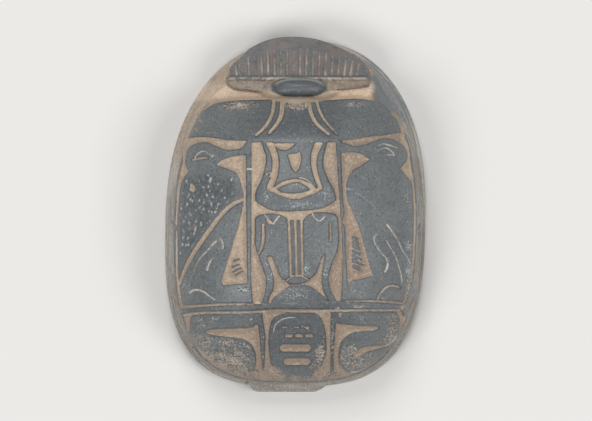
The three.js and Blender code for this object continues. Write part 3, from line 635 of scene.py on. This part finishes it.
# Worn and pitted patches: x, y, reach across and along, strength.
wornPatches = [
    (0.4, 22, 3, 1.5, 1.1), (-11.5, 21.7, 4.5, 1, 0.85), (-14, 21.9, 1.5, 0.8, 0.7),
    (-18.9, 18.6, 1.3, 0.8, 0.8), (-20, 16.8, 1, 0.6, 0.7), (-9.5, 21, 2, 1, 0.5), (12, 22, 4, 0.7, 0.6),
    (-18.3, -22.2, 1.8, 0.6, 0.7), (-19.5, -20.8, 1.4, 0.9, 0.6), (-15.8, -21, 1.4, 0.8, 0.5),
    (-8.9, -20.8, 0.5, 0.3, 0.8), (8.9, -20, 0.4, 0.5, 1), (13.2, -20.5, 0.5, 0.7, 0.8),
    (-16, -18.6, 1.3, 0.4, 0.7), (13, -18.4, 1.5, 0.5, 0.8), (8.5, -18.8, 1, 0.5, 0.9),
    (22.6, -13, 0.8, 6, 0.9), (22.6, -6.2, 0.9, 1.4, 0.8), (22.3, 2, 0.8, 5, 0.55),
    (-10.6, -14.9, 1.8, 0.6, 0.95), (12, -15.2, 1.4, 0.4, 0.6), (17, -16.9, 1.2, 0.6, 0.5),
    (-9.5, 25.8, 3.6, 0.8, 0.75), (10, 26.2, 4.2, 0.7, 0.7),
    (-11, 29, 1.6, 1.8, 0.6), (7.4, -25.5, 0.6, 6, 0.55), (-6.6, -27, 0.5, 4, 0.6),
    (21.5, -18.4, 1, 0.8, 0.8), (-22.3, -15, 0.7, 3, 0.5), (5.4, -25, 0.7, 2, 0.6),
]


# Worn fields round the tail and their strengths.
def wornFields():
    tailBand = outline(
        [(-15.5, -30.4), (-12, -31), (-8, -30.9), (-4.4, -30.4), (-2, -31.8), (2, -32.2), (3.8, -31.4),
         (5, -29.8), (6.8, -31.3), (9, -30.8), (11, -31.6), (14.5, -30.8), (17.5, -29)],
        [(19, -36)],
        [(-19, -36)])
    leftLow = outline(
        [(-20.6, -26), (-19.4, -26.9), (-16, -27.3), (-12.6, -28), (-11, -29.2), (-8.8, -31.2)],
        [(-9, -33.5), (-16, -31), (-20.4, -27.6)])
    leftHigh = outline(
        [(-21, -24), (-18, -24), (-15, -24.5), (-12, -25), (-9.6, -25.6), (-8.3, -27.5), (-8.1, -30)],
        [(-11, -29.2), (-12.6, -28), (-16, -27.3), (-20, -26.6)])
    rightLow = outline(
        [(9.1, -26), (11.5, -26), (13.5, -27.7), (16.5, -27.4), (16.8, -28.8), (13, -31), (10.2, -31)],
        [(8.9, -28.5)])
    rightHigh = outline(
        [(18, -20.2), (20.3, -20), (20.6, -22), (19.8, -24.6), (17.6, -26), (16.3, -25.3), (18.4, -22.8)])
    cartoucheCorner = outline(
        [(3.5, -27.2), (5.5, -25.8), (5.9, -27.8), (5.1, -30), (3.8, -31.5), (2.3, -30.4), (4, -29)])
    return [(tailBand, 0.96), (leftLow, 0.9), (leftHigh, 0.6), (rightLow, 0.62), (rightHigh, 0.62),
            (cartoucheCorner, 0.8)]


# How worn each place is, in patches.
def wornAmount(x, y):
    amount = np.zeros(len(x))
    for px, py, rx, ry, strength in wornPatches:
        gap = np.hypot((x - px) / rx, (y - py) / ry)
        amount = np.maximum(amount, strength * ease(-gap, -1.6, -0.2))
    for field, strength in wornFields():
        amount = np.maximum(amount, strength * ease(-nearest(x, y, [field]), -0.9, 0.5))
    return amount * (0.6 + 0.65 * patchNoise(x, y, *scarab["wearPatches"]))


# Places where small glints are painted onto the polish: x, y, reach across and along.
glintPatches = [
    (-2.4, -11.3, 0.9, 1.2), (2.2, -10.8, 0.8, 1.4), (-5, -12, 0.5, 1.8), (-0.8, -15, 2.2, 0.6),
    (6, -11.5, 0.5, 1.8), (0.5, 1.9, 4.5, 0.6), (-5.8, 4, 0.9, 1.6), (6, 4, 0.8, 1.4), (0, 5.8, 2.4, 0.5),
    (-0.5, -16.2, 4, 0.6), (-5.5, -9.6, 0.6, 0.8), (5, -9, 0.5, 1),
]


def glintAmount(x, y):
    amount = np.zeros(len(x))
    for px, py, rx, ry in glintPatches:
        amount = np.maximum(amount, ease(-np.hypot((x - px) / rx, (y - py) / ry), -1.5, -0.2))
    return amount


# Smooth random patches of a given size, from 0 to 1, the same on every run.
def patchNoise(x, y, size, seed):
    cells, shift = 128, 200  # the shift keeps every place above zero
    lattice = np.random.default_rng(seed).random((cells, cells))
    px, py = x / size + shift, y / size + shift
    ix, iy = np.floor(px).astype(int), np.floor(py).astype(int)
    fx, fy = ease(px - ix, 0, 1), ease(py - iy, 0, 1)
    ix, iy = ix % (cells - 1), iy % (cells - 1)
    low = lattice[ix, iy] * (1 - fx) + lattice[ix + 1, iy] * fx
    high = lattice[ix, iy + 1] * (1 - fx) + lattice[ix + 1, iy + 1] * fx
    return low * (1 - fy) + high * fy


# The cut back ground between the legs, below zero inside it.
def legRecess(y, z):
    frontY, rearY, low, margin = 26, -27, 3.6, 1
    region = np.maximum(np.maximum(y - frontY, rearY - y),
                        np.maximum(low - z, z - (edgeAt(y) - margin)))
    return np.maximum(region, -nearest(y, z, legStrokes))


# The base plate's outline with the low lug at the tail.
def plateEdge(u, v, inset):
    x, y = ovalPlace(u, v, insetSizes(scarab["plate"], inset))
    lug = np.array([(-9.6, -30), (-9.3, -33.2), (-9.1, -34.1), (-8.4, -35.2), (-7.5, -35.48),
                    (3.8, -35.48), (5, -35), (6.3, -34.1), (8, -33.6), (8.6, -30)])
    lugY = np.interp(x, lug[:, 0], lug[:, 1], left=0, right=0) + inset * 0.7
    return x, np.where((v < -0.9) & (lugY < y), lugY, y)


# Under the head the wall drops straight down, runs in under it, and drops again to the plate.
underHead = {"middleX": 0.4, "sides": (-11.6, -10.6), "fromHeight": (5, 6.5), "underside": 4.6,
             "dropEnd": 0.6, "runEnd": 0.85, "runIn": 2.5}


# Places of the walls below the sheet: down the flank, over the plate and under it.
def wallPlace(u, v, row):
    flankRows = scarab["flankRows"]
    topX, topY = sheetPlace(u, v)
    topZ = sheetHeight(topX, topY)[0]
    footX, footY = ovalPlace(u, v, insetSizes(scarab["plate"], scarab["footInset"]))
    onLug = ease(footX, -9.8, -9.2) * ease(-footX, -8.2, -6.4) * (v < -0.5)
    plateTop = scarab["plateHeight"] + scarab["lugStep"] * onLug

    t = np.clip(row / flankRows, 0, 1)
    weight = (1 - t) ** scarab["flankPower"]
    x = footX + (topX - footX) * weight
    y = footY + (topY - footY) * weight
    z = topZ + (plateTop - topZ) * t

    past = ease(-np.abs(topX - underHead["middleX"]), *underHead["sides"])
    past *= ease(topZ, *underHead["fromHeight"]) * (v > 0.5)
    dropEnd, runEnd, underside = underHead["dropEnd"], underHead["runEnd"], underHead["underside"]
    drop = np.clip(t / dropEnd, 0, 1)
    inward = np.clip((t - dropEnd) / (runEnd - dropEnd), 0, 1)
    last = np.clip((t - runEnd) / (1 - runEnd), 0, 1)
    headX = topX + (footX - topX) * inward
    headY = topY + (footY - underHead["runIn"] - topY) * inward
    headZ = topZ + (underside - topZ) * drop + (plateTop - underside) * last
    x, y, z = x + (headX - x) * past, y + (headY - y) * past, z + (headZ - z) * past

    # the ground between the legs is cut back at right angles to the oval
    ownX, ownY = ovalPlace(u, v, scarab["back"])
    outX, outY = ovalPlace(u, v, insetSizes(scarab["back"], -1))
    normal = np.stack([outX - ownX, outY - ownY])
    normal /= np.linalg.norm(normal, axis=0)
    recess = legRecess(y, z)
    depth = scarab["legDepth"] * ease(-recess, *scarab["legWall"]) * (1 - past) * (row <= flankRows)
    x, y = x - normal[0] * depth, y - normal[1] * depth

    # one row of cells to each step of the plate's rounded edge: how far in, how high
    profile = [(0.5, plateTop), (0.2, plateTop - 0.12), (0.03, plateTop - 0.45), (0, 1.8),
               (0, 0.5), (0.15, 0.12), (0.5, 0)]
    for i, (inset, height) in enumerate(profile):
        px, py = plateEdge(u, v, inset)
        here = row == flankRows + 1 + i
        x, y, z = np.where(here, px, x), np.where(here, py, y), np.where(here, height, z)
    return x, y, z, recess, row / flankRows, past


def clearSelection():
    if bpy.context.object and bpy.context.object.mode != "OBJECT":
        bpy.ops.object.mode_set(mode="OBJECT")
    bpy.ops.object.select_all(action="DESELECT")


def makeStone():
    clearSelection()
    bpy.ops.mesh.primitive_grid_add(x_subdivisions=scarab["cellsAcross"],
                                    y_subdivisions=scarab["cellsAlong"], size=2)
    stone = bpy.context.object
    stone.name = scarab["name"]

    # walls: the sheet's border is extruded down one row at a time, then closed underneath
    rows = scarab["flankRows"] + scarab["plateRows"]
    bpy.ops.object.mode_set(mode="EDIT")
    bpy.ops.mesh.select_mode(type="EDGE")
    bpy.ops.mesh.select_all(action="DESELECT")
    bpy.ops.mesh.select_non_manifold(extend=False, use_wire=False, use_boundary=True,
                                     use_multi_face=False, use_non_contiguous=False, use_verts=False)
    for _ in range(rows):
        bpy.ops.mesh.extrude_region_move(TRANSFORM_OT_translate={"value": (0, 0, -1)})
    bpy.ops.mesh.edge_face_add()
    bpy.ops.mesh.select_all(action="SELECT")
    bpy.ops.mesh.normals_make_consistent(inside=False)
    bpy.ops.object.mode_set(mode="OBJECT")
    print("stone: grid and walls,", len(stone.data.vertices), "vertices")

    # across and along the sheet from -1 to 1, and the row down the wall
    count = len(stone.data.vertices)
    flat = np.empty(count * 3)
    stone.data.vertices.foreach_get("co", flat)
    u, v, row = flat.reshape(-1, 3).T
    u, v, row = np.clip(u, -1, 1), np.clip(v, -1, 1), np.rint(-row)
    onSheet = row == 0
    place = np.zeros((count, 3))
    marks = {name: np.full(count, farAway)
             for name in ("cutEdge", "lineEdge", "peckEdge", "stripeEdge", "headEdge", "knobEdge",
                          "maneEdge", "recessEdge")}
    for name in ("worn", "glint", "flankPart"):
        marks[name] = np.zeros(count)

    x, y = sheetPlace(u[onSheet], v[onSheet])
    z, carved = sheetHeight(x, y)
    place[onSheet] = np.stack([x, y, z], axis=1)
    for name, values in carved.items():
        marks[name][onSheet] = values
    wall = ~onSheet
    x, y, z, recess, down, past = wallPlace(u[wall], v[wall], row[wall])
    place[wall] = np.stack([x, y, z], axis=1)
    marks["flankPart"][wall] = down
    marks["recessEdge"][wall] = recess
    marks["headEdge"][wall] = np.where((past > 0.5) & (down < underHead["dropEnd"]), -1, 1)
    print("stone: carved,", *np.ptp(place, axis=0).round(2), "mm")

    # the distances to each edge and line are kept on the mesh for the material
    stone.data.vertices.foreach_set("co", (place * mm).ravel())
    for name, values in marks.items():
        layer = stone.data.attributes.new(name, "FLOAT", "POINT")
        layer.data.foreach_set("value", values.astype(np.float32))
    stone.data.update()
    clearSelection()
    bpy.context.view_layer.objects.active = stone
    stone.select_set(True)
    bpy.ops.object.shade_smooth_by_angle(angle=math.radians(50))
    return stone


stone = makeStone()

finish = {
    "polished": (0.114, 0.127, 0.129, 1), "polishedPale": (0.148, 0.16, 0.159, 1),
    "polishedWarm": (0.16, 0.145, 0.13, 1), "polishedCool": (0.108, 0.118, 0.138, 1),
    "polishedDeep": (0.058, 0.066, 0.072, 1), "edgeShadeAndWear": (0.042, 0.048, 0.052, 1),
    "ground": (0.34, 0.262, 0.193, 1), "groundPale": (0.41, 0.327, 0.245, 1),
    "groundBrown": (0.22, 0.165, 0.125, 1), "groundLight": (0.48, 0.4, 0.31, 1),
    "neckPaleAndLit": (0.7, 0.54, 0.4, 1), "incised": (0.47, 0.42, 0.365, 1),
    "peck": (0.36, 0.38, 0.37, 1), "speck": (0.34, 0.35, 0.335, 1), "glint": (0.52, 0.58, 0.58, 1),
    "stripe": (0.4, 0.325, 0.265, 1), "headBrown": (0.15, 0.12, 0.105, 1),
    "stepBrownAndShade": (0.26, 0.205, 0.15, 1), "knobRimHighlight": (0.3, 0.31, 0.3, 1),
    "knobBandLit": (0.36, 0.275, 0.2, 1), "dust": (0.405, 0.345, 0.282, 1),
    "dustBrown": (0.29, 0.225, 0.17, 1), "underEdgeDark": (0.09, 0.075, 0.065, 1),
    "rim": (0.385, 0.375, 0.345, 1), "rimBrown": (0.22, 0.198, 0.176, 1),
    "rimDark": (0.15, 0.165, 0.175, 1),
    "polish": 0.36, "groundRoughness": 0.85,
    "grainBump": 0.00012, "bumpStrength": 0.6,  # height of the grain, in metres
    "wobble": 0.26,  # how far a colour's edge wanders off the carved one, in millimetres
    "edgeShadeLine": (0.38, 0.12), "edgeShadeStrength": (0.3, 0.75),
    "wearReach": 0.27, "wearStep": (0.7, 0.72),
    "fleckTurns": (22, -45), "fleckStretch": (1, 1.7, 1),  # flecks to the left and to the right
    "streakStretch": (0.35, 3.2, 1), "flankStreaks": (10, 0.09),
}

material = bpy.data.materials.new("carved dark stone")
material.use_nodes = True
tree = material.node_tree
tree.nodes.clear()


def addNode(kind, **settings):
    node = tree.nodes.new(kind)
    for key, value in settings.items():
        setattr(node, key, value)
    return node


# Gives a socket a link or a fixed value.
def feed(socket, value):
    if hasattr(value, "is_output"):
        tree.links.new(value, socket)
    else:
        socket.default_value = value


def calc(operation, a, b=0.0):
    node = addNode("ShaderNodeMath", operation=operation)
    feed(node.inputs[0], a)
    feed(node.inputs[1], b)
    return node.outputs[0]


def times(first, *others):
    for other in others:
        first = calc("MULTIPLY", first, other)
    return first


# A soft step: low at start, high at end, whichever of the two is larger.
def fade(value, start, end, low=0.0, high=1.0):
    node = addNode("ShaderNodeMapRange", interpolation_type="SMOOTHSTEP")
    feed(node.inputs["Value"], value)
    numbers = {"From Min": start, "From Max": end, "To Min": low, "To Max": high}
    for name, number in numbers.items():
        node.inputs[name].default_value = number
    return node.outputs["Result"]


def blend(factor, a, b):
    node = addNode("ShaderNodeMix", data_type="RGBA")
    feed(node.inputs["Factor"], factor)
    feed(node.inputs[6], a)
    feed(node.inputs[7], b)
    return node.outputs[2]


def tint(colour, factor, name):
    return blend(factor, colour, finish[name])


def mark(name):
    return addNode("ShaderNodeAttribute", attribute_name=name).outputs["Fac"]


def stretched(vector, scale, turn=0.0):
    node = addNode("ShaderNodeMapping")
    feed(node.inputs["Vector"], vector)
    node.inputs["Rotation"].default_value = (0, 0, math.radians(turn))
    node.inputs["Scale"].default_value = scale
    return node.outputs["Vector"]


# Object coordinates in millimetres, in which all the patterns are set out.
coords = stretched(addNode("ShaderNodeTexCoord").outputs["Object"], (1 / mm, 1 / mm, 1 / mm))


def noise(scale, detail=3.0, roughness=0.55, vector=coords):
    node = addNode("ShaderNodeTexNoise")
    feed(node.inputs["Vector"], vector)
    node.inputs["Scale"].default_value = scale
    node.inputs["Detail"].default_value = detail
    node.inputs["Roughness"].default_value = roughness
    return node.outputs["Fac"]


# Scattered dots: how many to a millimetre, the share that shows, and their radius in cells.
def specks(scale, share, radius):
    cells = addNode("ShaderNodeTexVoronoi", feature="F1")
    feed(cells.inputs["Vector"], coords)
    cells.inputs["Scale"].default_value = scale
    channels = addNode("ShaderNodeSeparateColor")
    feed(channels.inputs[0], cells.outputs["Color"])
    shown = fade(channels.outputs[0], 1 - share, 1 - share * 0.7)
    return times(shown, fade(cells.outputs["Distance"], radius, radius / 2))


split = addNode("ShaderNodeSeparateXYZ")
feed(split.inputs[0], coords)
acrossAt, alongAt = split.outputs["X"], split.outputs["Y"]
offMiddle = calc("ABSOLUTE", acrossAt)
patchy, grain = noise(0.8, 4), noise(3.2, 4, 0.65)
wobble = times(calc("SUBTRACT", noise(1.8), 0.5), finish["wobble"])


def polishedStone():
    colour = blend(fade(noise(0.14), 0.38, 0.62), finish["polished"], finish["polishedPale"])
    colour = tint(colour, fade(patchy, 0.5, 0.75, 0, 0.4), "polishedWarm")
    colour = tint(colour, fade(noise(1.1), 0.5, 0.68, 0, 0.6), "polishedCool")
    # darker down the middle and on the breast, as painted shade, darker at the tail too, and lighter on
    # the breast's rear lip
    ends = calc("ADD", fade(alongAt, 14, 16, 0, 0.26), fade(alongAt, -17, -19, 0, 0.2))
    shadeAndTailDarkening = calc("ADD", fade(offMiddle, 11, 7, 0, 0.42), ends)
    colour = tint(colour, calc("MINIMUM", shadeAndTailDarkening, 0.7), "polishedDeep")
    lip = times(fade(alongAt, 14.2, 14.45), fade(alongAt, 15.2, 14.7), fade(offMiddle, 10, 8.5, 0, 0.6))
    colour = tint(colour, lip, "polishedPale")
    # rubbing left faint level streaks, and the grain shows as light and dark dots; the light dots are
    # partly painted glints off tiny pits
    streaks = noise(1, 4, 0.6, stretched(coords, finish["streakStretch"]))
    colour = tint(colour, fade(streaks, 0.52, 0.7, 0, 0.4), "polishedPale")
    mottle = noise(1.9, 4, 0.75)
    colour = tint(colour, fade(mottle, 0.5, 0.64, 0, 0.7), "polishedDeep")
    colour = tint(colour, fade(mottle, 0.46, 0.34, 0, 0.6), "polishedPale")
    crowd = fade(patchy, 0.4, 0.65, 0.1, 0.6)
    colour = tint(colour, times(specks(3.4, 0.4, 0.42), crowd), "speck")
    colour = tint(colour, times(specks(1.7, 0.16, 0.26), 0.6), "speck")
    colour = tint(colour, times(specks(1.5, 0.4, 0.32), 0.6), "polishedDeep")
    # painted glints in the glint patches
    spark = times(fade(noise(3, 3, 0.7), 0.54, 0.64), mark("glint"), 0.8)
    return tint(colour, spark, "glint")


def cutGround():
    colour = blend(fade(patchy, 0.35, 0.65), finish["ground"], finish["groundPale"])
    colour = tint(colour, fade(alongAt, -4, -20, 0, 0.4), "groundBrown")
    # browner beside the lower half of the beetle and all down the right
    besideBeetle = times(fade(offMiddle, 10.2, 9.2), fade(alongAt, 1, -8, 0, 0.35))
    colour = tint(colour, besideBeetle, "groundBrown")
    rightSide = times(fade(acrossAt, 5, 8, 0, 0.6), fade(acrossAt, 22, 20.5), fade(alongAt, -15.5, -13.5))
    colour = tint(colour, rightSide, "groundBrown")
    fine = noise(2.2, 4, 0.7)
    colour = tint(colour, fade(fine, 0.5, 0.66, 0, 0.6), "groundBrown")
    colour = tint(colour, fade(fine, 0.48, 0.34, 0, 0.7), "groundLight")
    colour = tint(colour, times(specks(1.3, 0.25, 0.3), 0.5), "groundBrown")
    # the right shoulder is dark, with a ragged edge, and the neck beside it is palest, painted lighter
    # still as painted light that lifts the shade of the walls round it, brightest on the right
    ragged = times(calc("SUBTRACT", noise(0.6, 4, 0.65), 0.5), 3.5)
    shoulder = times(fade(calc("ADD", acrossAt, ragged), 14.9, 16.1),
                     fade(calc("SUBTRACT", alongAt, ragged), 19.8, 20.8, 0, 0.95))
    paleAndLit = times(fade(alongAt, 22.2, 23.2), fade(alongAt, 27, 25.5), fade(grain, 0.62, 0.4, 0.35, 0.8),
                   fade(acrossAt, -6, 8, 0.75, 1.2), fade(acrossAt, 16.2, 14.4))
    return tint(tint(colour, shoulder, "rimDark"), paleAndLit, "neckPaleAndLit")


# The sides: grey brown in level streaks, tan at the left shoulder, dark at the right.
def flankStone(down, tan):
    acrossRows, alongRows = finish["flankStreaks"]
    vector = addNode("ShaderNodeCombineXYZ")
    feed(vector.inputs[0], times(down, acrossRows))
    feed(vector.inputs[1], times(alongAt, alongRows))
    feed(vector.inputs[2], times(acrossAt, alongRows))
    streaks = noise(1, 5, 0.75, vector.outputs[0])
    colour = blend(fade(streaks, 0.4, 0.6), finish["rimBrown"], finish["rim"])
    colour = tint(colour, fade(streaks, 0.42, 0.34, 0, 0.7), "rimDark")
    colour = tint(colour, fade(alongAt, -2, -28, 0, 0.4), "rimBrown")
    colour = blend(fade(mark("recessEdge"), 0.1, -0.3, 0, 0.6), colour, tan)
    colour = blend(times(fade(alongAt, 2, 20), fade(acrossAt, -6, -14, 0, 0.85)), colour, tan)
    rightShoulder = times(fade(alongAt, 17, 21), fade(acrossAt, 12, 15, 0, 0.8),
                          fade(streaks, 0.62, 0.48, 0.3, 1))
    colour = tint(colour, rightShoulder, "rimDark")
    # darker in a band just under the back's edge round the tail
    underEdge = times(fade(down, 0, 0.04), fade(down, 0.5, 0.3), fade(alongAt, -22, -28, 0, 0.9),
                 fade(patchy, 0.35, 0.5, 0.5, 1))
    colour = tint(colour, underEdge, "underEdgeDark")
    speckled = fade(alongAt, -18, -28, 0.5, 1)
    colour = tint(colour, times(fade(grain, 0.53, 0.62), speckled), "dust")
    colour = tint(colour, times(fade(grain, 0.47, 0.36), speckled, 0.8), "rimDark")
    colour = tint(colour, times(specks(1.4, 0.35, 0.3), 0.5), "rimDark")
    # the last row runs over the underside, which is plain polished stone
    base = blend(fade(patchy, 0.4, 0.65), finish["polished"], finish["polishedWarm"])
    # light dots, partly painted glints, as on the back
    base = tint(base, times(specks(1.7, 0.3, 0.3), 0.6), "speck")
    return blend(fade(down, 1.3, 1.34), colour, base)


# The head: brown cast over the plate, a mottled brown step whose brown runs onto a ring of painted shade
# below it, and a clean knob between a painted highlight on its upper edge and a brown band below, painted
# lighter to lift its shade.
def headStone(colour):
    headAt, knobAt = mark("headEdge"), mark("knobEdge")
    offKnob = fade(knobAt, 0, 0.3)
    onHead = times(fade(headAt, 0.15, -0.2), offKnob)
    colour = tint(colour, times(onHead, fade(noise(0.5), 0.38, 0.62, 0.1, 0.75)), "headBrown")
    # the step is mottled brown, and the same brown runs onto a thin ring below it as painted shade
    step = times(fade(headAt, 0.5, 0.25), offKnob, fade(alongAt, 27.2, 26.8))
    colour = tint(colour, times(step, fade(patchy, 0.35, 0.6, 0.3, 0.95)), "stepBrownAndShade")
    colour = tint(colour, times(step, fade(grain, 0.45, 0.32, 0, 0.6)), "polishedDeep")
    colour = tint(colour, times(step, fade(grain, 0.55, 0.7, 0, 0.7)), "incised")
    # a pale line and a dark one above it mark the plate's lower edge
    paleLine = times(fade(alongAt, 26.7, 26.95), fade(alongAt, 27.4, 27.2), onHead,
                     fade(patchy, 0.4, 0.56, 0.15, 0.9))
    colour = tint(colour, paleLine, "dust")
    darkLine = times(fade(alongAt, 27.3, 27.5), fade(alongAt, 27.95, 27.75), onHead, 0.6)
    colour = tint(colour, darkLine, "polishedDeep")
    # the knob
    colour = tint(colour, fade(knobAt, 0.15, -0.3, 0, 0.5), "polishedDeep")
    # a brown band below the knob, painted lighter to lift the shade under it
    litBand = times(fade(knobAt, 1.25, 0.8), fade(knobAt, -0.15, 0.05), fade(alongAt, 24.8, 24))
    colour = tint(colour, litBand, "knobBandLit")
    # a painted highlight along the knob's upper edge
    rim = times(fade(knobAt, -0.45, -0.2), fade(knobAt, 0.1, -0.05), fade(alongAt, 25.4, 26.6, 0, 0.7))
    return tint(colour, rim, "knobRimHighlight")


# Dust left in the worn places, in crisp dots and larger flecks, over small dark pits.
def wornStone(colour):
    leftward, rightward = [noise(2.1, 2.8, 0.72, stretched(coords, finish["fleckStretch"], turn))
                           for turn in finish["fleckTurns"]]
    onRight = fade(acrossAt, 2, 4)
    flecks = calc("ADD", times(rightward, onRight), times(leftward, calc("SUBTRACT", 1.0, onRight)))
    wornAt = times(mark("worn"), finish["wearReach"])
    worn = fade(calc("ADD", wornAt, flecks), *finish["wearStep"])
    browner = calc("MAXIMUM", fade(patchy, 0.4, 0.62, 0, 0.7), fade(alongAt, -28, -32, 0, 0.9))
    dust = blend(browner, finish["dust"], finish["dustBrown"])
    dust = tint(dust, times(fade(alongAt, -18, -16), fade(alongAt, 14, 12)), "speck")
    pits = times(fade(wornAt, 0.05, 0.15), fade(flecks, 0.47, 0.4, 0, 0.7))
    colour = tint(colour, pits, "polishedDeep")
    return blend(worn, colour, dust), worn


def stoneMaterial():
    tan = cutGround()
    cutAt = calc("ADD", mark("cutEdge"), wobble)
    ground = fade(cutAt, 0.06, -0.06)

    # the pecked mane is darker, in mottles, and a thin dark line of painted shade, with some dark
    # weathering, stands along every raised edge
    inMane = times(fade(mark("maneEdge"), 0.4, -0.6), fade(noise(1.5, 2), 0.62, 0.38, 0.1, 0.75))
    dark = tint(polishedStone(), inMane, "polishedDeep")
    edgeShadeLine = times(fade(cutAt, *finish["edgeShadeLine"]), fade(grain, 0.3, 0.6, *finish["edgeShadeStrength"]),
                     fade(offMiddle, 10, 8.5, 0.8, 1.2), fade(alongAt, 24, 24.6, 1, 0.25))
    dark = tint(dark, edgeShadeLine, "edgeShadeAndWear")
    colour, worn = wornStone(blend(ground, dark, tan))

    broken = fade(noise(1.4, 3, 0.6), 0.36, 0.56, 0.25, 1)
    lineAt = calc("ADD", mark("lineEdge"), times(wobble, 0.3))
    colour = tint(colour, times(fade(lineAt, 0.07, -0.06), broken), "incised")
    # the pecks are painted pale as glints where their sides catch the light
    colour = tint(colour, times(fade(mark("peckEdge"), 0.03, -0.08), broken), "peck")
    colour = headStone(colour)
    stripe = times(fade(calc("ADD", mark("stripeEdge"), wobble), 0.12, -0.1),
                   fade(grain, 0.3, 0.6, 0.5, 1), fade(noise(0.33), 0.42, 0.58, 0.45, 1))
    colour = tint(colour, stripe, "stripe")
    down = mark("flankPart")
    onFlank = times(fade(down, 0.0, 0.06), fade(mark("headEdge"), -0.5, 0.5))
    colour = blend(onFlank, colour, flankStone(down, tan))

    bump = addNode("ShaderNodeBump")
    bump.inputs["Strength"].default_value = finish["bumpStrength"]
    bump.inputs["Distance"].default_value = finish["grainBump"]
    feed(bump.inputs["Height"], calc("ADD", patchy, grain))

    # bare stone is matt, and the underside is polished
    bare = calc("MAXIMUM", calc("MAXIMUM", ground, worn), onFlank)
    bare = times(bare, fade(down, 1.34, 1.3))
    shader = addNode("ShaderNodeBsdfPrincipled")
    feed(shader.inputs["Base Color"], colour)
    feed(shader.inputs["Roughness"], fade(bare, 0, 1, finish["polish"], finish["groundRoughness"]))
    feed(shader.inputs["Normal"], bump.outputs["Normal"])
    output = addNode("ShaderNodeOutputMaterial")
    feed(output.inputs["Surface"], shader.outputs["BSDF"])
    print("stone: material,", len(tree.nodes), "nodes")


stoneMaterial()
stone.data.materials.append(material)
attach(stone, "root")
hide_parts("scarab_stone")
print("stone: finished")

studio = {
    "floorSize": 4, "floorColour": (0.62, 0.61, 0.59, 1), "floorRoughness": 0.9,
    "lights": 3, "firstTurn": 100,  # the first light's place round the stone, in degrees
    "lightHeight": 0.8, "lightOffset": 0.62, "lightSize": 0.45, "lightPower": 5.0,
    "skyColour": (0.95, 0.96, 1.0, 1), "skyStrength": 0.25,
    "cameraHeight": 2.4, "cameraPlace": (0.0001, 0.0008), "viewWidth": 0.1184,
    "sensorWidth": 36, "viewEnd": 20,
}


def makeStudio():
    clearSelection()
    bpy.ops.mesh.primitive_plane_add(size=studio["floorSize"])
    floor = bpy.context.object
    floor.name = "floor"
    paint = bpy.data.materials.new("pale floor")
    paint.use_nodes = True
    shader = paint.node_tree.nodes["Principled BSDF"]
    shader.inputs["Base Color"].default_value = studio["floorColour"]
    shader.inputs["Roughness"].default_value = studio["floorRoughness"]
    floor.data.materials.append(paint)

    for i in range(studio["lights"]):
        turn = math.radians(studio["firstTurn"] + 360 / studio["lights"] * i)
        spot = (studio["lightOffset"] * math.cos(turn), studio["lightOffset"] * math.sin(turn),
                studio["lightHeight"])
        bpy.ops.object.light_add(type="AREA", location=spot)
        light = bpy.context.object
        light.name = f"soft light {i + 1}"
        light.data.size = studio["lightSize"]
        light.data.energy = studio["lightPower"]
        light.rotation_euler = (-light.location).to_track_quat("-Z", "Y").to_euler()

    world = bpy.data.worlds.new("studio sky")
    bpy.context.scene.world = world
    world.use_nodes = True
    sky = world.node_tree.nodes["Background"]
    sky.inputs["Color"].default_value = studio["skyColour"]
    sky.inputs["Strength"].default_value = studio["skyStrength"]

    # the camera looks straight down, and the base plate's level fills the set width
    bpy.ops.object.camera_add(location=(*studio["cameraPlace"], studio["cameraHeight"]),
                              rotation=(0, 0, 0))
    camera = bpy.context.object
    camera.data.sensor_width = studio["sensorWidth"]
    toPlate = studio["cameraHeight"] - scarab["plateHeight"] * mm
    camera.data.lens = studio["sensorWidth"] * toPlate / studio["viewWidth"]
    camera.data.clip_end = studio["viewEnd"]
    bpy.context.scene.camera = camera
    bpy.context.scene.view_settings.view_transform = "Standard"
    print("studio: floor, lights and camera")


makeStudio()
